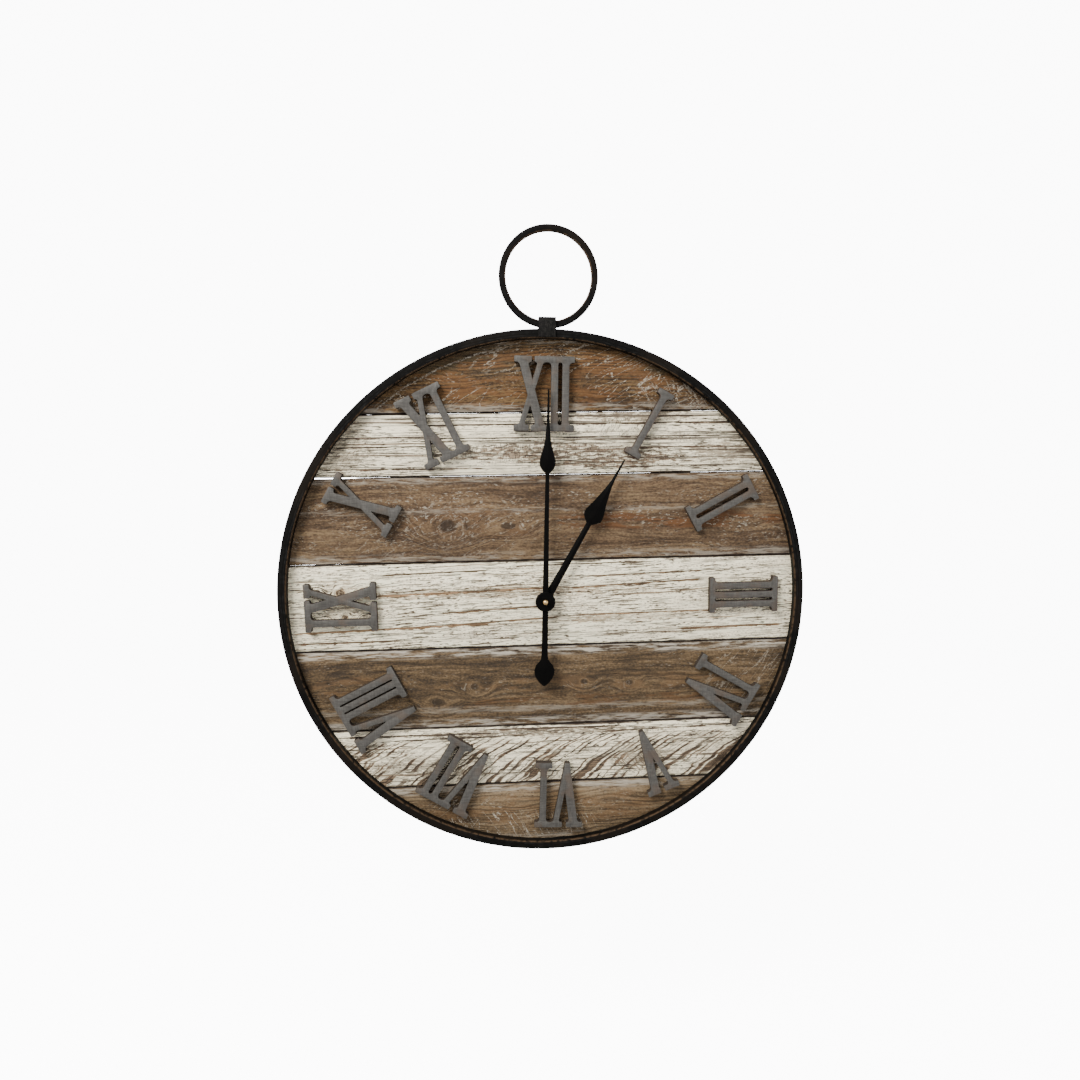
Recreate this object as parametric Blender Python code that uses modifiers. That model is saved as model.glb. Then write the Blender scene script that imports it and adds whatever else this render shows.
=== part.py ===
"""Farmhouse wall clock shaped like a pocket watch.

Seven planks lie side by side inside a rolled iron hoop.  Two upright battens
tie the planks together behind, and a battery quartz movement in the middle
drives two spade hands.  A strap clamps the hanging ring to the top of the hoop.

The clock faces -Y and +Z is up.  The wall is the plane Y = 0, and the hands
turn about the line X = 0, Z = 0.  Sizes are in millimetres until a mesh is made.
"""
import math

import bmesh
import bpy
from mathutils import Matrix, Vector

MM = 0.001
GAP = 0.3
DIAL_TWIST = -1.7          # degrees clockwise of the boards and numerals under the hoop

# depths, measured forward from the wall
BATTEN_DEPTH = 20.0
PLANK_BACK = BATTEN_DEPTH + GAP
PLANK_THICKNESS = 12.0
FACE = PLANK_BACK + PLANK_THICKNESS

# hoop
HOOP_RADIUS = 300.0
HOOP_FACE_WIDTH = 10.0
HOOP_WALL = 2.4
HOOP_PROUD = 12.0
HOOP_FRONT = FACE + HOOP_PROUD
HOOP_BACK = 9.0
HOOP_CORNER = 1.6
HOOP_STEPS = 96

# boards, from the top seam to the bottom one, as heights above the hands' axis
SEAMS = (212.0, 143.0, 46.5, -53.3, -148.3, -219.4)
SEAM_WIDTH = 1.3
DISC_RADIUS = HOOP_RADIUS - HOOP_WALL - 0.8
BUSH_HOLE = 4.3

BATTEN_X = 150.0
BATTEN_WIDTH = 44.0
BATTEN_LENGTH = 470.0

# hanging ring and its clip
RING_RADIUS = 50.0
RING_BAR = 7.0
RING_DEPTH = 6.0
RING_Z = HOOP_RADIUS + GAP + RING_RADIUS + RING_BAR / 2 + 0.5
RING_BACK = HOOP_FRONT - RING_DEPTH - 2.0
CLIP_X = -1.0
CLIP_WIDTH = 19.0
CLIP_STRAP = 1.6
CLIP_FOOT = 16.0

# numerals
NUMERAL_RADIUS = 231.2
NUMERAL_HEIGHT = 80.5
NUMERAL_THICKNESS = 8.0
BAR_HEIGHT = 6.6
OVERHANG = 6.0
STEM = 7.6
FILLET = 4.0
ARC_STEPS = 5
# numeral, shift clockwise along the dial, shift outward, lean clockwise in degrees
THIN_FIRST = ("IV", "V")
NUMERALS = (
    ("XII", 3.6, 0.0, 1.7),
    ("I", 5.5, 0.0, 0.3),
    ("II", 8.8, -0.5, 2.3),
    ("III", -1.3, -0.3, 0.0),
    ("IV", -4.6, 1.5, 0.8),
    ("V", -9.0, 1.8, 9.0),
    ("VI", -11.6, 3.2, 2.6),
    ("VII", -10.8, 1.6, 2.4),
    ("VIII", -7.4, 1.2, 3.8),
    ("IX", -1.3, 0.0, 0.0),
    ("X", -2.4, 0.2, 1.0),
    ("XI", -5.2, 0.5, 5.2),
)

# hands: (distance along the hand, half width)
MINUTE_ANGLE = 0.3
MINUTE_BLADE = ((236.0, 0.8), (200.0, 1.6), (188.0, 2.5), (180.0, 3.4), (172.0, 5.1),
                (165.0, 7.2), (160.0, 8.5), (156.0, 8.9), (152.5, 8.3), (149.5, 6.9),
                (147.0, 4.9), (145.0, 2.6), (143.0, 2.1), (8.0, 3.3))
MINUTE_TAIL = ((-8.0, 3.3), (-62.0, 3.6), (-67.0, 4.2), (-70.0, 6.2), (-74.0, 9.8), (-80.0, 11.7),
               (-85.0, 11.2), (-90.0, 9.0), (-95.0, 5.2), (-98.6, 0.9))
MINUTE_BOSS = 11.3
HOUR_ANGLE = 28.5
HOUR_BLADE = ((182.5, 0.9), (158.0, 1.6), (150.0, 2.5), (143.0, 3.8), (135.0, 5.5), (127.0, 7.4),
              (120.0, 9.5), (115.0, 11.0), (111.5, 11.3), (108.0, 10.3), (105.0, 7.6),
              (102.5, 4.6), (101.0, 3.0), (5.0, 4.5))
HOUR_BOSS = 9.0
HAND_SHEET = 1.2

# movement
CASE = 56.0
CASE_WALL = 1.4
CASE_FRONT = PLANK_BACK - GAP
FRONT_WALL = 1.2
CASE_BACK = 5.2
COVER_THICKNESS = 1.6
COVER_BACK = CASE_BACK - GAP - COVER_THICKNESS
DIVIDER = -11.5
BATTERY_Z = -18.8
BATTERY_DEPTH = 10.5
BATTERY_RADIUS = 7.0
BATTERY_LENGTH = 50.0
ARBOR = 0.6
MINUTE_ARBOR = 1.75
HOUR_PIPE = 2.6
BUSH = 3.9
RUN = 0.15                 # radial running clearance of an arbor in a hole

# gear train: teeth and modules
M_MOTION = 0.45
M_CENTRE = 0.30
M_THIRD = 0.26
M_FOURTH = 0.35
M_STEP = 0.20
CANNON, REVERSER, REVERSER_PINION, HOUR = 10, 30, 8, 32
KNOB_PINION = 10
CENTRE, THIRD_PINION, THIRD, FOURTH_PINION = 64, 8, 60, 8
FOURTH, STEP_PINION, STEP, ROTOR_PINION = 32, 8, 60, 8

# where each wheel stands, from the one before it, as an angle anticlockwise from +X
TO_REVERSER = math.radians(20.0)
TO_KNOB = math.radians(40.0)
TO_THIRD = math.radians(125.0)
TO_FOURTH = math.radians(80.0)
TO_STEP = math.radians(0.0)
TO_ROTOR = math.radians(-10.0)

# depths of the wheels, forward of the wall: (back, front)
LAYER_HOUR = (17.6, 18.4)
LAYER_CANNON = (16.3, 17.1)
LAYER_CENTRE = (14.9, 15.7)
LAYER_BRIDGE = (13.5, 14.4)
LAYER_THIRD = (12.2, 13.0)
LAYER_FOURTH = (10.9, 11.7)
LAYER_STEP = (9.5, 10.3)
LAYER_STATOR = (7.4, 8.4)


def clear_scene():
    for thing in list(bpy.data.objects):
        bpy.data.objects.remove(thing, do_unlink=True)


clear_scene()
CLOCK = bpy.data.collections.new("farmhouse_wall_clock")
bpy.context.scene.collection.children.link(CLOCK)


def material(name, colour, roughness, metallic=0.0):
    finish = bpy.data.materials.new(name)
    finish.use_nodes = True
    shader = finish.node_tree.nodes["Principled BSDF"]
    shader.inputs["Base Color"].default_value = (*colour, 1.0)
    shader.inputs["Roughness"].default_value = roughness
    shader.inputs["Metallic"].default_value = metallic
    return finish


BROWN_BOARD = material("brown_board", (0.17, 0.10, 0.055), 0.8)
WHITE_BOARD = material("white_board", (0.62, 0.57, 0.49), 0.75)
BARE_PINE = material("bare_pine", (0.50, 0.34, 0.19), 0.75)
BLACK_IRON = material("black_iron", (0.016, 0.014, 0.013), 0.5, 0.7)
GREY_PAINT = material("grey_numeral", (0.13, 0.125, 0.115), 0.55)
BLACK_HAND = material("black_hand", (0.008, 0.007, 0.006), 0.45, 0.3)
BRASS = material("brass", (0.62, 0.44, 0.20), 0.3, 1.0)
ZINC = material("zinc_steel", (0.45, 0.45, 0.44), 0.4, 1.0)
BLACK_PLASTIC = material("black_plastic", (0.02, 0.02, 0.021), 0.45)
WHITE_PLASTIC = material("white_plastic", (0.72, 0.72, 0.69), 0.4)
COPPER = material("copper_wire", (0.55, 0.22, 0.10), 0.35, 1.0)
GREEN_BOARD = material("green_board", (0.03, 0.16, 0.07), 0.5)
CELL_SLEEVE = material("cell_sleeve", (0.05, 0.10, 0.16), 0.35)


# ---------------------------------------------------------------- tools

def frozen(thing, name):
    """Replaces a curve or a modified object by its plain mesh."""
    graph = bpy.context.evaluated_depsgraph_get()
    mesh = bpy.data.meshes.new_from_object(thing.evaluated_get(graph))
    solid = bpy.data.objects.new(name, mesh)
    solid.matrix_world = thing.matrix_world.copy()
    bpy.data.objects.remove(thing, do_unlink=True)
    CLOCK.objects.link(solid)
    weld(solid)
    return solid


def weld(solid):
    work = bmesh.new()
    work.from_mesh(solid.data)
    bmesh.ops.remove_doubles(work, verts=work.verts, dist=0.004 * MM)
    work.to_mesh(solid.data)
    work.free()


def flat(outline, back, front, holes=()):
    """A plate with its outline in X and Z, between two depths forward of the wall."""
    curve = bpy.data.curves.new("outline", "CURVE")
    curve.dimensions = "2D"
    curve.fill_mode = "BOTH"
    curve.extrude = (front - back) / 2 * MM
    for loop in (outline, *holes):
        spline = curve.splines.new("POLY")
        spline.points.add(len(loop) - 1)
        for point, (x, z) in zip(spline.points, loop):
            point.co = (x * MM, z * MM, 0.0, 1.0)
        spline.use_cyclic_u = True
    thing = bpy.data.objects.new("outline", curve)
    CLOCK.objects.link(thing)
    bpy.context.view_layer.update()
    solid = frozen(thing, "plate")
    stand(solid, (back + front) / 2)
    face_out(solid)
    return solid


def stand(solid, depth):
    """Turns a shape drawn in XY to face -Y, and sets it a depth forward of the wall."""
    solid.data.transform(Matrix.Translation((0, -depth * MM, 0)) @ Matrix.Rotation(math.pi / 2, 4, "X"))


def turned(profile, steps=24, z=0.0):
    """A turned solid about a line along Y: profile is (radius, depth forward of the wall), front first."""
    mesh = bpy.data.meshes.new("profile")
    points = [(r * MM, 0.0, depth * MM) for r, depth in profile]
    closed = profile[0][0] > 0 and profile[-1][0] > 0
    edges = [(i, i + 1) for i in range(len(points) - 1)]
    if closed:
        edges.append((len(points) - 1, 0))
    mesh.from_pydata(points, edges, [])
    thing = bpy.data.objects.new("profile", mesh)
    CLOCK.objects.link(thing)
    screw = thing.modifiers.new("turn", "SCREW")
    screw.axis = "Z"
    screw.steps = steps
    screw.render_steps = steps
    screw.use_merge_vertices = True
    screw.merge_threshold = 0.00001
    bpy.context.view_layer.update()
    solid = frozen(thing, "turned")
    solid.data.transform(Matrix.Rotation(math.pi / 2, 4, "X"))
    solid.data.transform(Matrix.Translation((0, 0, z * MM)))
    face_out(solid)
    return solid


def rod(radius, back, front, steps=16):
    return turned(((0, front), (radius, front), (radius, back), (0, back)), steps)


def face_out(solid):
    work = bmesh.new()
    work.from_mesh(solid.data)
    bmesh.ops.recalc_face_normals(work, faces=work.faces)
    work.to_mesh(solid.data)
    work.free()


def block(low, high, bevel=0.0, upright=False):
    """A box between two corners given as X, depth forward of the wall, Z."""
    work = bmesh.new()
    bmesh.ops.create_cube(work, size=1.0)
    size = [abs(b - a) * MM for a, b in zip(low, high)]
    middle = [(a + b) / 2 * MM for a, b in zip(low, high)]
    bmesh.ops.scale(work, vec=size, verts=work.verts)
    bmesh.ops.translate(work, vec=(middle[0], -middle[1], middle[2]), verts=work.verts)
    mesh = bpy.data.meshes.new("block")
    work.to_mesh(mesh)
    work.free()
    solid = bpy.data.objects.new("block", mesh)
    CLOCK.objects.link(solid)
    if bevel:
        soften(solid, bevel, upright)
    return solid


def soften(solid, width, along_depth=False):
    """Bevels all edges, or only those that run along the depth."""
    work = bmesh.new()
    work.from_mesh(solid.data)
    edges = list(work.edges)
    if along_depth:
        edges = [e for e in edges if abs((e.verts[0].co - e.verts[1].co).normalized().y) > 0.99]
    bmesh.ops.bevel(work, geom=edges, offset=width * MM, segments=3 if along_depth else 1,
                    profile=0.5, affect="EDGES")
    work.to_mesh(solid.data)
    work.free()


def combine(solid, others, operation):
    """Joins or cuts a solid with others in one step, and drops them."""
    tools = bpy.data.collections.new("tools")
    for other in others:
        tools.objects.link(other)
    step = solid.modifiers.new("step", "BOOLEAN")
    step.operation = operation
    step.operand_type = "COLLECTION"
    step.collection = tools
    bpy.context.view_layer.update()
    graph = bpy.context.evaluated_depsgraph_get()
    mesh = bpy.data.meshes.new_from_object(solid.evaluated_get(graph))
    solid.modifiers.clear()
    solid.data = mesh
    for other in others:
        bpy.data.objects.remove(other, do_unlink=True)
    bpy.data.collections.remove(tools)
    weld(solid)
    merge_flat_faces(solid)
    return solid


def merge_flat_faces(solid):
    """Dissolves the cuts a Boolean leaves in flat faces, then fills each face with triangles."""
    work = bmesh.new()
    work.from_mesh(solid.data)
    bmesh.ops.dissolve_limit(work, angle_limit=math.radians(0.3), verts=work.verts, edges=work.edges)
    bmesh.ops.triangulate(work, faces=work.faces)
    work.to_mesh(solid.data)
    work.free()


def join(first, *others):
    return combine(first, others, "UNION")


def cut(first, *others):
    return combine(first, others, "DIFFERENCE")


def finish(solid, name, look, parent=None, pivot=(0.0, 0.0, 0.0), turn=0.0):
    """Names a solid, sets its origin on a pivot (X, depth, Z), and turns it clockwise about it."""
    place = Vector((pivot[0] * MM, -pivot[1] * MM, pivot[2] * MM))
    solid.data.transform(Matrix.Translation(-place))
    solid.location = place
    solid.rotation_euler = (0.0, math.radians(turn), 0.0)
    solid.name = name
    solid.data.name = name
    solid.data.materials.clear()
    solid.data.materials.append(look)
    solid.data.shade_smooth()
    solid.data.set_sharp_from_angle(angle=math.radians(35))
    solid.parent = parent
    return solid


def empty(name, turn=0.0):
    marker = bpy.data.objects.new(name, None)
    marker.rotation_euler = (0.0, math.radians(turn), 0.0)
    CLOCK.objects.link(marker)
    return marker


def arc(centre, radius, start, end, steps):
    """Points on an arc, from start to end in degrees anticlockwise from +X."""
    return [(centre[0] + radius * math.cos(math.radians(start + (end - start) * i / steps)),
             centre[1] + radius * math.sin(math.radians(start + (end - start) * i / steps)))
            for i in range(steps + 1)]


def circle(x, z, radius, steps=24):
    return arc((x, z), radius, 0.0, 360.0, steps)[:-1]


# ---------------------------------------------------------------- boards

DIAL = empty("dial", DIAL_TWIST)


def plank_outline(low, high):
    """A strip of the disc between two heights."""
    half = SEAM_WIDTH / 2
    bottom = max(low + half, -DISC_RADIUS * 0.9999)
    top = min(high - half, DISC_RADIUS * 0.9999)
    a = math.degrees(math.asin(bottom / DISC_RADIUS))
    b = math.degrees(math.asin(top / DISC_RADIUS))
    steps = max(4, round((b - a) / 4))
    right = arc((0, 0), DISC_RADIUS, a, b, steps)
    return right + [(-x, z) for x, z in reversed(right)]


def planks():
    edges = (DISC_RADIUS, *SEAMS, -DISC_RADIUS)
    for i, (high, low) in enumerate(zip(edges, edges[1:])):
        board = flat(plank_outline(low, high), PLANK_BACK, FACE)
        if low < 0 < high:
            cut(board, rod(BUSH_HOLE, PLANK_BACK - 5, FACE + 5, 24))
        look = BROWN_BOARD if i % 2 == 0 else WHITE_BOARD
        finish(board, f"plank_{i + 1}", look, DIAL)


def battens():
    for side, name in ((-1, "batten_left"), (1, "batten_right")):
        x = side * BATTEN_X
        board = block((x - BATTEN_WIDTH / 2, 0.0, -BATTEN_LENGTH / 2),
                      (x + BATTEN_WIDTH / 2, BATTEN_DEPTH, BATTEN_LENGTH / 2), 1.5)
        finish(board, name, BARE_PINE, DIAL)


# ---------------------------------------------------------------- hoop, ring and clip

def hoop():
    """A rolled channel: a long outer leg, a rounded face, and a short lip down to the boards."""
    outer, inner = HOOP_RADIUS, HOOP_RADIUS - HOOP_FACE_WIDTH
    crest = HOOP_FRONT - HOOP_CORNER
    lip = FACE + GAP
    profile = ((outer - HOOP_CORNER, HOOP_FRONT), (outer - 0.5, HOOP_FRONT - 0.5), (outer, crest),
               (outer, HOOP_BACK), (outer - HOOP_WALL, HOOP_BACK),
               (outer - HOOP_WALL, HOOP_FRONT - HOOP_WALL), (inner + HOOP_WALL, HOOP_FRONT - HOOP_WALL),
               (inner + HOOP_WALL, lip), (inner, lip), (inner, crest), (inner + 0.5, HOOP_FRONT - 0.5),
               (inner + HOOP_CORNER, HOOP_FRONT))
    finish(turned(profile, HOOP_STEPS), "hoop", BLACK_IRON)


def hanging_ring():
    r, half, c = RING_RADIUS, RING_BAR / 2, 1.2
    back, front = RING_BACK, RING_BACK + RING_DEPTH
    profile = ((r + half - c, front), (r + half, front - c), (r + half, back + c), (r + half - c, back),
               (r - half + c, back), (r - half, back + c), (r - half, front - c), (r - half + c, front))
    finish(turned(profile, 64, RING_Z), "hanging_ring", BLACK_IRON)


def ring_clip():
    """A strap over the ring's lowest stretch: its face hangs on the hoop, its foot lies on top of it."""
    top = HOOP_RADIUS + RING_BAR + 3.4 + CLIP_STRAP
    inner_top = top - CLIP_STRAP
    front = HOOP_FRONT + GAP
    back = RING_BACK - GAP
    shelf = HOOP_RADIUS + GAP
    path = ((front + CLIP_STRAP, HOOP_RADIUS - HOOP_FACE_WIDTH + 0.8), (front + CLIP_STRAP, top - 0.8),
            (front + CLIP_STRAP - 0.8, top), (back - CLIP_STRAP, top),
            (back - CLIP_STRAP, shelf + CLIP_STRAP),
            (back - CLIP_FOOT, shelf + CLIP_STRAP), (back - CLIP_FOOT, shelf), (back, shelf),
            (back, inner_top), (front, inner_top), (front, HOOP_RADIUS - HOOP_FACE_WIDTH + 0.8))
    work = bmesh.new()
    corners = [work.verts.new(((CLIP_X - CLIP_WIDTH / 2) * MM, -d * MM, z * MM)) for d, z in path]
    side = work.faces.new(corners)
    grown = bmesh.ops.extrude_face_region(work, geom=[side])
    moved = [v for v in grown["geom"] if isinstance(v, bmesh.types.BMVert)]
    bmesh.ops.translate(work, vec=(CLIP_WIDTH * MM, 0, 0), verts=moved)
    bmesh.ops.recalc_face_normals(work, faces=work.faces)
    mesh = bpy.data.meshes.new("clip")
    work.to_mesh(mesh)
    work.free()
    strap = bpy.data.objects.new("clip", mesh)
    CLOCK.objects.link(strap)
    finish(strap, "ring_clip", BLACK_IRON)
    screw = turned(((0, 2.2), (2.2, 1.9), (3.4, 1.0), (3.6, 0), (0, 0)), 16)
    screw.data.transform(Matrix.Rotation(math.radians(-90), 4, "X"))
    middle = back - CLIP_STRAP - (CLIP_FOOT - CLIP_STRAP) / 2
    screw.data.transform(Matrix.Translation((CLIP_X * MM, -middle * MM, (shelf + CLIP_STRAP + GAP) * MM)))
    finish(screw, "clip_screw", BLACK_IRON)


# ---------------------------------------------------------------- numerals

def bracket(corner, along, up, radius):
    """The concave fillet in a corner between two unit directions, let into both sides."""
    a, b = Vector(along), Vector(up)
    half = a.angle(b) / 2
    reach = radius / math.tan(half)
    centre = Vector(corner) + (a + b).normalized() * (radius / math.sin(half))
    first, last = Vector(corner) + a * reach, Vector(corner) + b * reach
    start = math.atan2(first.y - centre.y, first.x - centre.x)
    sweep = math.atan2(last.y - centre.y, last.x - centre.x) - start
    sweep = (sweep + math.pi) % (2 * math.pi) - math.pi
    curve = []
    for i in range(ARC_STEPS + 1):
        t = start + sweep * i / ARC_STEPS
        curve.append((centre.x + radius * math.cos(t), centre.y + radius * math.sin(t)))
    root = Vector(corner) - (a + b) * 1.2
    return [tuple(root), tuple(first - b * 1.2), *curve, tuple(last - a * 1.2)]


def stroke(foot, head, foot_width, head_width):
    """A straight limb between the bars, as its four corners: foot and head are mid points in X."""
    low, high = BAR_HEIGHT / 2, NUMERAL_HEIGHT - BAR_HEIGHT / 2
    return [(foot - foot_width / 2, low), (foot + foot_width / 2, low),
            (head + head_width / 2, high), (head - head_width / 2, high)]


def edge_brackets(limb, radius_left, radius_right, top=True, bottom=True):
    """Fillets where a limb's two sides meet the bars."""
    (fl, low), (fr, _), (hr, high), (hl, _) = limb
    shapes = []
    for x0, x1, side, radius in ((fl, hl, -1, radius_left), (fr, hr, 1, radius_right)):
        if not radius:
            continue
        rise = Vector((x1 - x0, high - low)).normalized()
        if bottom:
            x = x0 + rise.x / rise.y * BAR_HEIGHT / 2
            shapes.append(bracket((x, BAR_HEIGHT), (side, 0), tuple(rise), radius))
        if top:
            x = x1 - rise.x / rise.y * BAR_HEIGHT / 2
            shapes.append(bracket((x, NUMERAL_HEIGHT - BAR_HEIGHT), (side, 0), tuple(-rise), radius))
    return shapes


def bar(left, right, top):
    low = NUMERAL_HEIGHT - BAR_HEIGHT if top else 0.0
    high = low + BAR_HEIGHT
    c = 0.8
    return [(left, low + c), (left + c, low), (right - c, low), (right, low + c),
            (right, high - c), (right - c, high), (left + c, high), (left, high - c)]


# how far the middle of a letter stands from the one before it
ADVANCE = {("X", "I"): 25.5, ("I", "I"): 12.2, ("V", "I"): 27.6, ("I", "V"): 27.6, ("I", "X"): 26.0}
CLOSE_PITCH = {"III": 10.8, "VIII": 9.7}


def letter_places(text):
    pitch = CLOSE_PITCH.get(text, ADVANCE["I", "I"])
    places = [0.0]
    for pair in zip(text, text[1:]):
        places.append(places[-1] + (pitch if pair == ("I", "I") else ADVANCE[pair]))
    return places


def numeral_shapes(text):
    """Every limb, bar and fillet of a numeral, as outlines that overlap."""
    shapes, tops, bottoms = [], [], []
    places = letter_places(text)
    for i, (letter, x) in enumerate(zip(text, places)):
        close_left = i > 0 and text[i - 1] == "I" and letter == "I"
        close_right = i + 1 < len(text) and text[i + 1] == "I" and letter == "I"
        if letter == "I":
            limb = stroke(x, x, STEM, STEM)
            slot_left = (x - places[i - 1] - STEM) / 2 if close_left else FILLET
            slot_right = (places[i + 1] - x - STEM) / 2 if close_right else FILLET
            shapes += [limb, *edge_brackets(limb, slot_left, slot_right)]
            tops.append((x - STEM / 2 - OVERHANG, x + STEM / 2 + OVERHANG))
            bottoms.append(tops[-1])
        elif letter == "V":
            shapes += v_limbs(x, text in THIN_FIRST)
            tops += [(x - 19.4, x - 0.6), (x + 4.4, x + 20.4)]
        else:
            shapes += x_limbs(x)
            tops += [(x - 19.0, x + 0.3), (x + 3.3, x + 19.0)]
            bottoms += [(x - 19.4, x - 3.0), (x - 0.3, x + 19.4)]
    for spans, top in ((tops, True), (bottoms, False)):
        for left, right in merged(spans):
            shapes.append(bar(left, right, top))
    return shapes, (min(s[0] for s in tops) + max(s[1] for s in tops)) / 2


def merged(spans):
    """Spans that touch or overlap become one bar."""
    result = []
    for left, right in sorted(spans):
        if result and left <= result[-1][1] + 0.5:
            result[-1] = (result[-1][0], max(right, result[-1][1]))
        else:
            result.append((left, right))
    return result


def v_limbs(x, thin_first):
    """Two unlike limbs that meet in a narrow flat foot: the left one is thick unless thin_first."""
    high = NUMERAL_HEIGHT - BAR_HEIGHT / 2
    under = NUMERAL_HEIGHT - BAR_HEIGHT
    foot, reach = 2.8, (14.6, 15.6)
    thick, thin = 10.0, 6.3
    left_width, right_width = (thin, thick) if thin_first else (thick, thin)
    notch = x + (right_width - left_width) * -0.45
    left = [(x - foot, 0.0), (x + foot - 0.2, 0.0), (notch, 36.0),
            (x - reach[0] + left_width, high), (x - reach[0], high)]
    right = [(x - foot + 0.4, 0.0), (x + foot, 0.0), (x + reach[1], high),
             (x + reach[1] - right_width, high), (notch + 0.4, 36.0)]
    crotch = [(notch - 3.0, 28.0), (notch + 3.4, 28.0), (notch + 1.4, 37.6), (notch + 0.2, 36.4),
              (notch - 1.0, 37.6)]
    left_rise = Vector((foot - reach[0], high)).normalized()
    right_rise = Vector((reach[1] - foot, high)).normalized()
    left_x = x - foot + (foot - reach[0]) * under / high
    right_x = x + foot + (reach[1] - foot) * under / high
    fillets = [bracket((left_x, under), (-1, 0), tuple(-left_rise), FILLET),
               bracket((right_x, under), (1, 0), tuple(-right_rise), FILLET),
               bracket((left_x + left_width, under), (1, 0), (0.2, -0.98), 2.4),
               bracket((right_x - right_width, under), (-1, 0), (-0.2, -0.98), 1.0 if thin_first else 2.4)]
    return [left, right, crotch, *fillets]


def x_limbs(x):
    """A thick limb down to the right crossed by a thin one up to the right."""
    thick = stroke(x + 10.4, x - 9.7, 9.6, 9.8)
    thin = stroke(x - 12.0, x + 11.0, 6.2, 6.2)
    return [thick, thin, *edge_brackets(thick, FILLET, 2.2, bottom=False),
            *edge_brackets(thick, 2.2, FILLET, top=False),
            *edge_brackets(thin, 2.2, FILLET, bottom=False),
            *edge_brackets(thin, FILLET, 2.2, top=False)]


def numerals():
    """Limbs of unlike thickness are joined, then cut to the numeral's own front and back."""
    back, front = FACE + GAP, FACE + GAP + NUMERAL_THICKNESS
    for hour, (text, across, outward, lean) in enumerate(NUMERALS):
        shapes, middle = numeral_shapes(text)
        plates = []
        for i, shape in enumerate(shapes):
            moved = [(px - middle, pz - NUMERAL_HEIGHT / 2) for px, pz in shape]
            spare = 1.0 + 0.05 * i
            plates.append(flat(moved, back - spare, front + spare))
        whole = join(plates[0], *plates[1:])
        combine(whole, (block((-90, back, -90), (90, front, 90)),), "INTERSECT")
        turn = math.radians(30.0 * hour)
        radius = NUMERAL_RADIUS + outward
        x = radius * math.sin(turn) + across * math.cos(turn)
        z = radius * math.cos(turn) - across * math.sin(turn)
        finish(whole, f"numeral_{text}", GREY_PAINT, DIAL, (0.0, 0.0, 0.0), 30.0 * hour + lean)
        whole.location = (x * MM, 0.0, z * MM)


# ---------------------------------------------------------------- hands

def hand_outline(stations):
    right = [(w, along) for along, w in stations]
    return right + [(-w, along) for along, w in reversed(stations)]


def hour_hand():
    front = FACE + 10.8
    blade = flat(hand_outline(HOUR_BLADE), front - HAND_SHEET, front)
    boss = turned(((0, front + 0.01), (HOUR_BOSS, front + 0.01), (HOUR_BOSS, front - HAND_SHEET - 0.4),
                   (4.2, front - HAND_SHEET - 0.4), (4.2, FACE + 6.6), (0, FACE + 6.6)), 32)
    bore = rod(HOUR_PIPE + RUN, FACE, front + 5, 24)
    return cut(join(boss, blade), bore), HOUR_ANGLE


def minute_hand():
    front = FACE + 14.0
    blade = flat(hand_outline(MINUTE_BLADE), front - HAND_SHEET, front)
    tail = flat(hand_outline(MINUTE_TAIL), front - HAND_SHEET, front)
    boss = turned(((0, front + 1.3), (MINUTE_BOSS - 0.8, front + 1.3), (MINUTE_BOSS, front + 0.6),
                   (MINUTE_BOSS, front - HAND_SHEET - 0.3), (0, front - HAND_SHEET - 0.3)), 40)
    bore = rod(MINUTE_ARBOR + 0.2, FACE, front + 5, 24)
    return cut(join(boss, blade, tail), bore), MINUTE_ANGLE


def hands():
    blade, angle = hour_hand()
    finish(blade, "hour_hand", BLACK_HAND, None, turn=angle)
    blade, angle = minute_hand()
    finish(blade, "minute_hand", BLACK_HAND, None, turn=angle)
    base = FACE + 15.6
    nut = turned(((0, base + 4.6), (1.4, base + 4.3), (2.5, base + 3.5), (3.1, base + 2.2),
                  (3.3, base + 1.4),
                  (3.3, base), (1.55, base), (1.55, base + 3.0), (0, base + 3.0)), 24)
    finish(nut, "cap_nut", BRASS)


# ---------------------------------------------------------------- movement

def gear(teeth, module, phase, back, front):
    """A spur gear with slim straight teeth, centred on a tooth at the phase angle."""
    pitch = teeth * module / 2
    tip, root = pitch + 0.75 * module, pitch - 0.95 * module
    step = 2 * math.pi / teeth
    points = []
    for i in range(teeth):
        middle = phase + i * step
        for radius, share in ((root, -0.27), (tip, -0.10), (tip, 0.10), (root, 0.27)):
            angle = middle + share * step
            points.append((radius * math.cos(angle), radius * math.sin(angle)))
    return flat(points, back, front)


def meshed(phase, teeth, next_teeth, direction):
    """The phase of a gear whose gaps take the teeth of the one before it."""
    share = (direction - phase) * teeth / (2 * math.pi)
    return direction + math.pi - (0.5 - share) * 2 * math.pi / next_teeth


def step_from(place, teeth, next_teeth, module, direction):
    reach = (teeth + next_teeth) * module / 2
    return (place[0] + reach * math.cos(direction), place[1] + reach * math.sin(direction))


AXIS = (0.0, 0.0)
REVERSER_AT = step_from(AXIS, CANNON, REVERSER, M_MOTION, TO_REVERSER)
KNOB_AT = step_from(REVERSER_AT, REVERSER, KNOB_PINION, M_MOTION, TO_KNOB)
THIRD_AT = step_from(AXIS, CENTRE, THIRD_PINION, M_CENTRE, TO_THIRD)
FOURTH_AT = step_from(THIRD_AT, THIRD, FOURTH_PINION, M_THIRD, TO_FOURTH)
STEP_AT = step_from(FOURTH_AT, FOURTH, STEP_PINION, M_FOURTH, TO_STEP)
ROTOR_AT = step_from(STEP_AT, STEP, ROTOR_PINION, M_STEP, TO_ROTOR)
WALL_INNER = CASE_FRONT - FRONT_WALL
COVER_INNER = COVER_BACK + COVER_THICKNESS
PIVOT_DEEP = 0.7


def shift(solid, at):
    """Moves a solid drawn about the hands' axis to its own place in X and Z."""
    solid.data.transform(Matrix.Translation((at[0] * MM, 0, at[1] * MM)))


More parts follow.
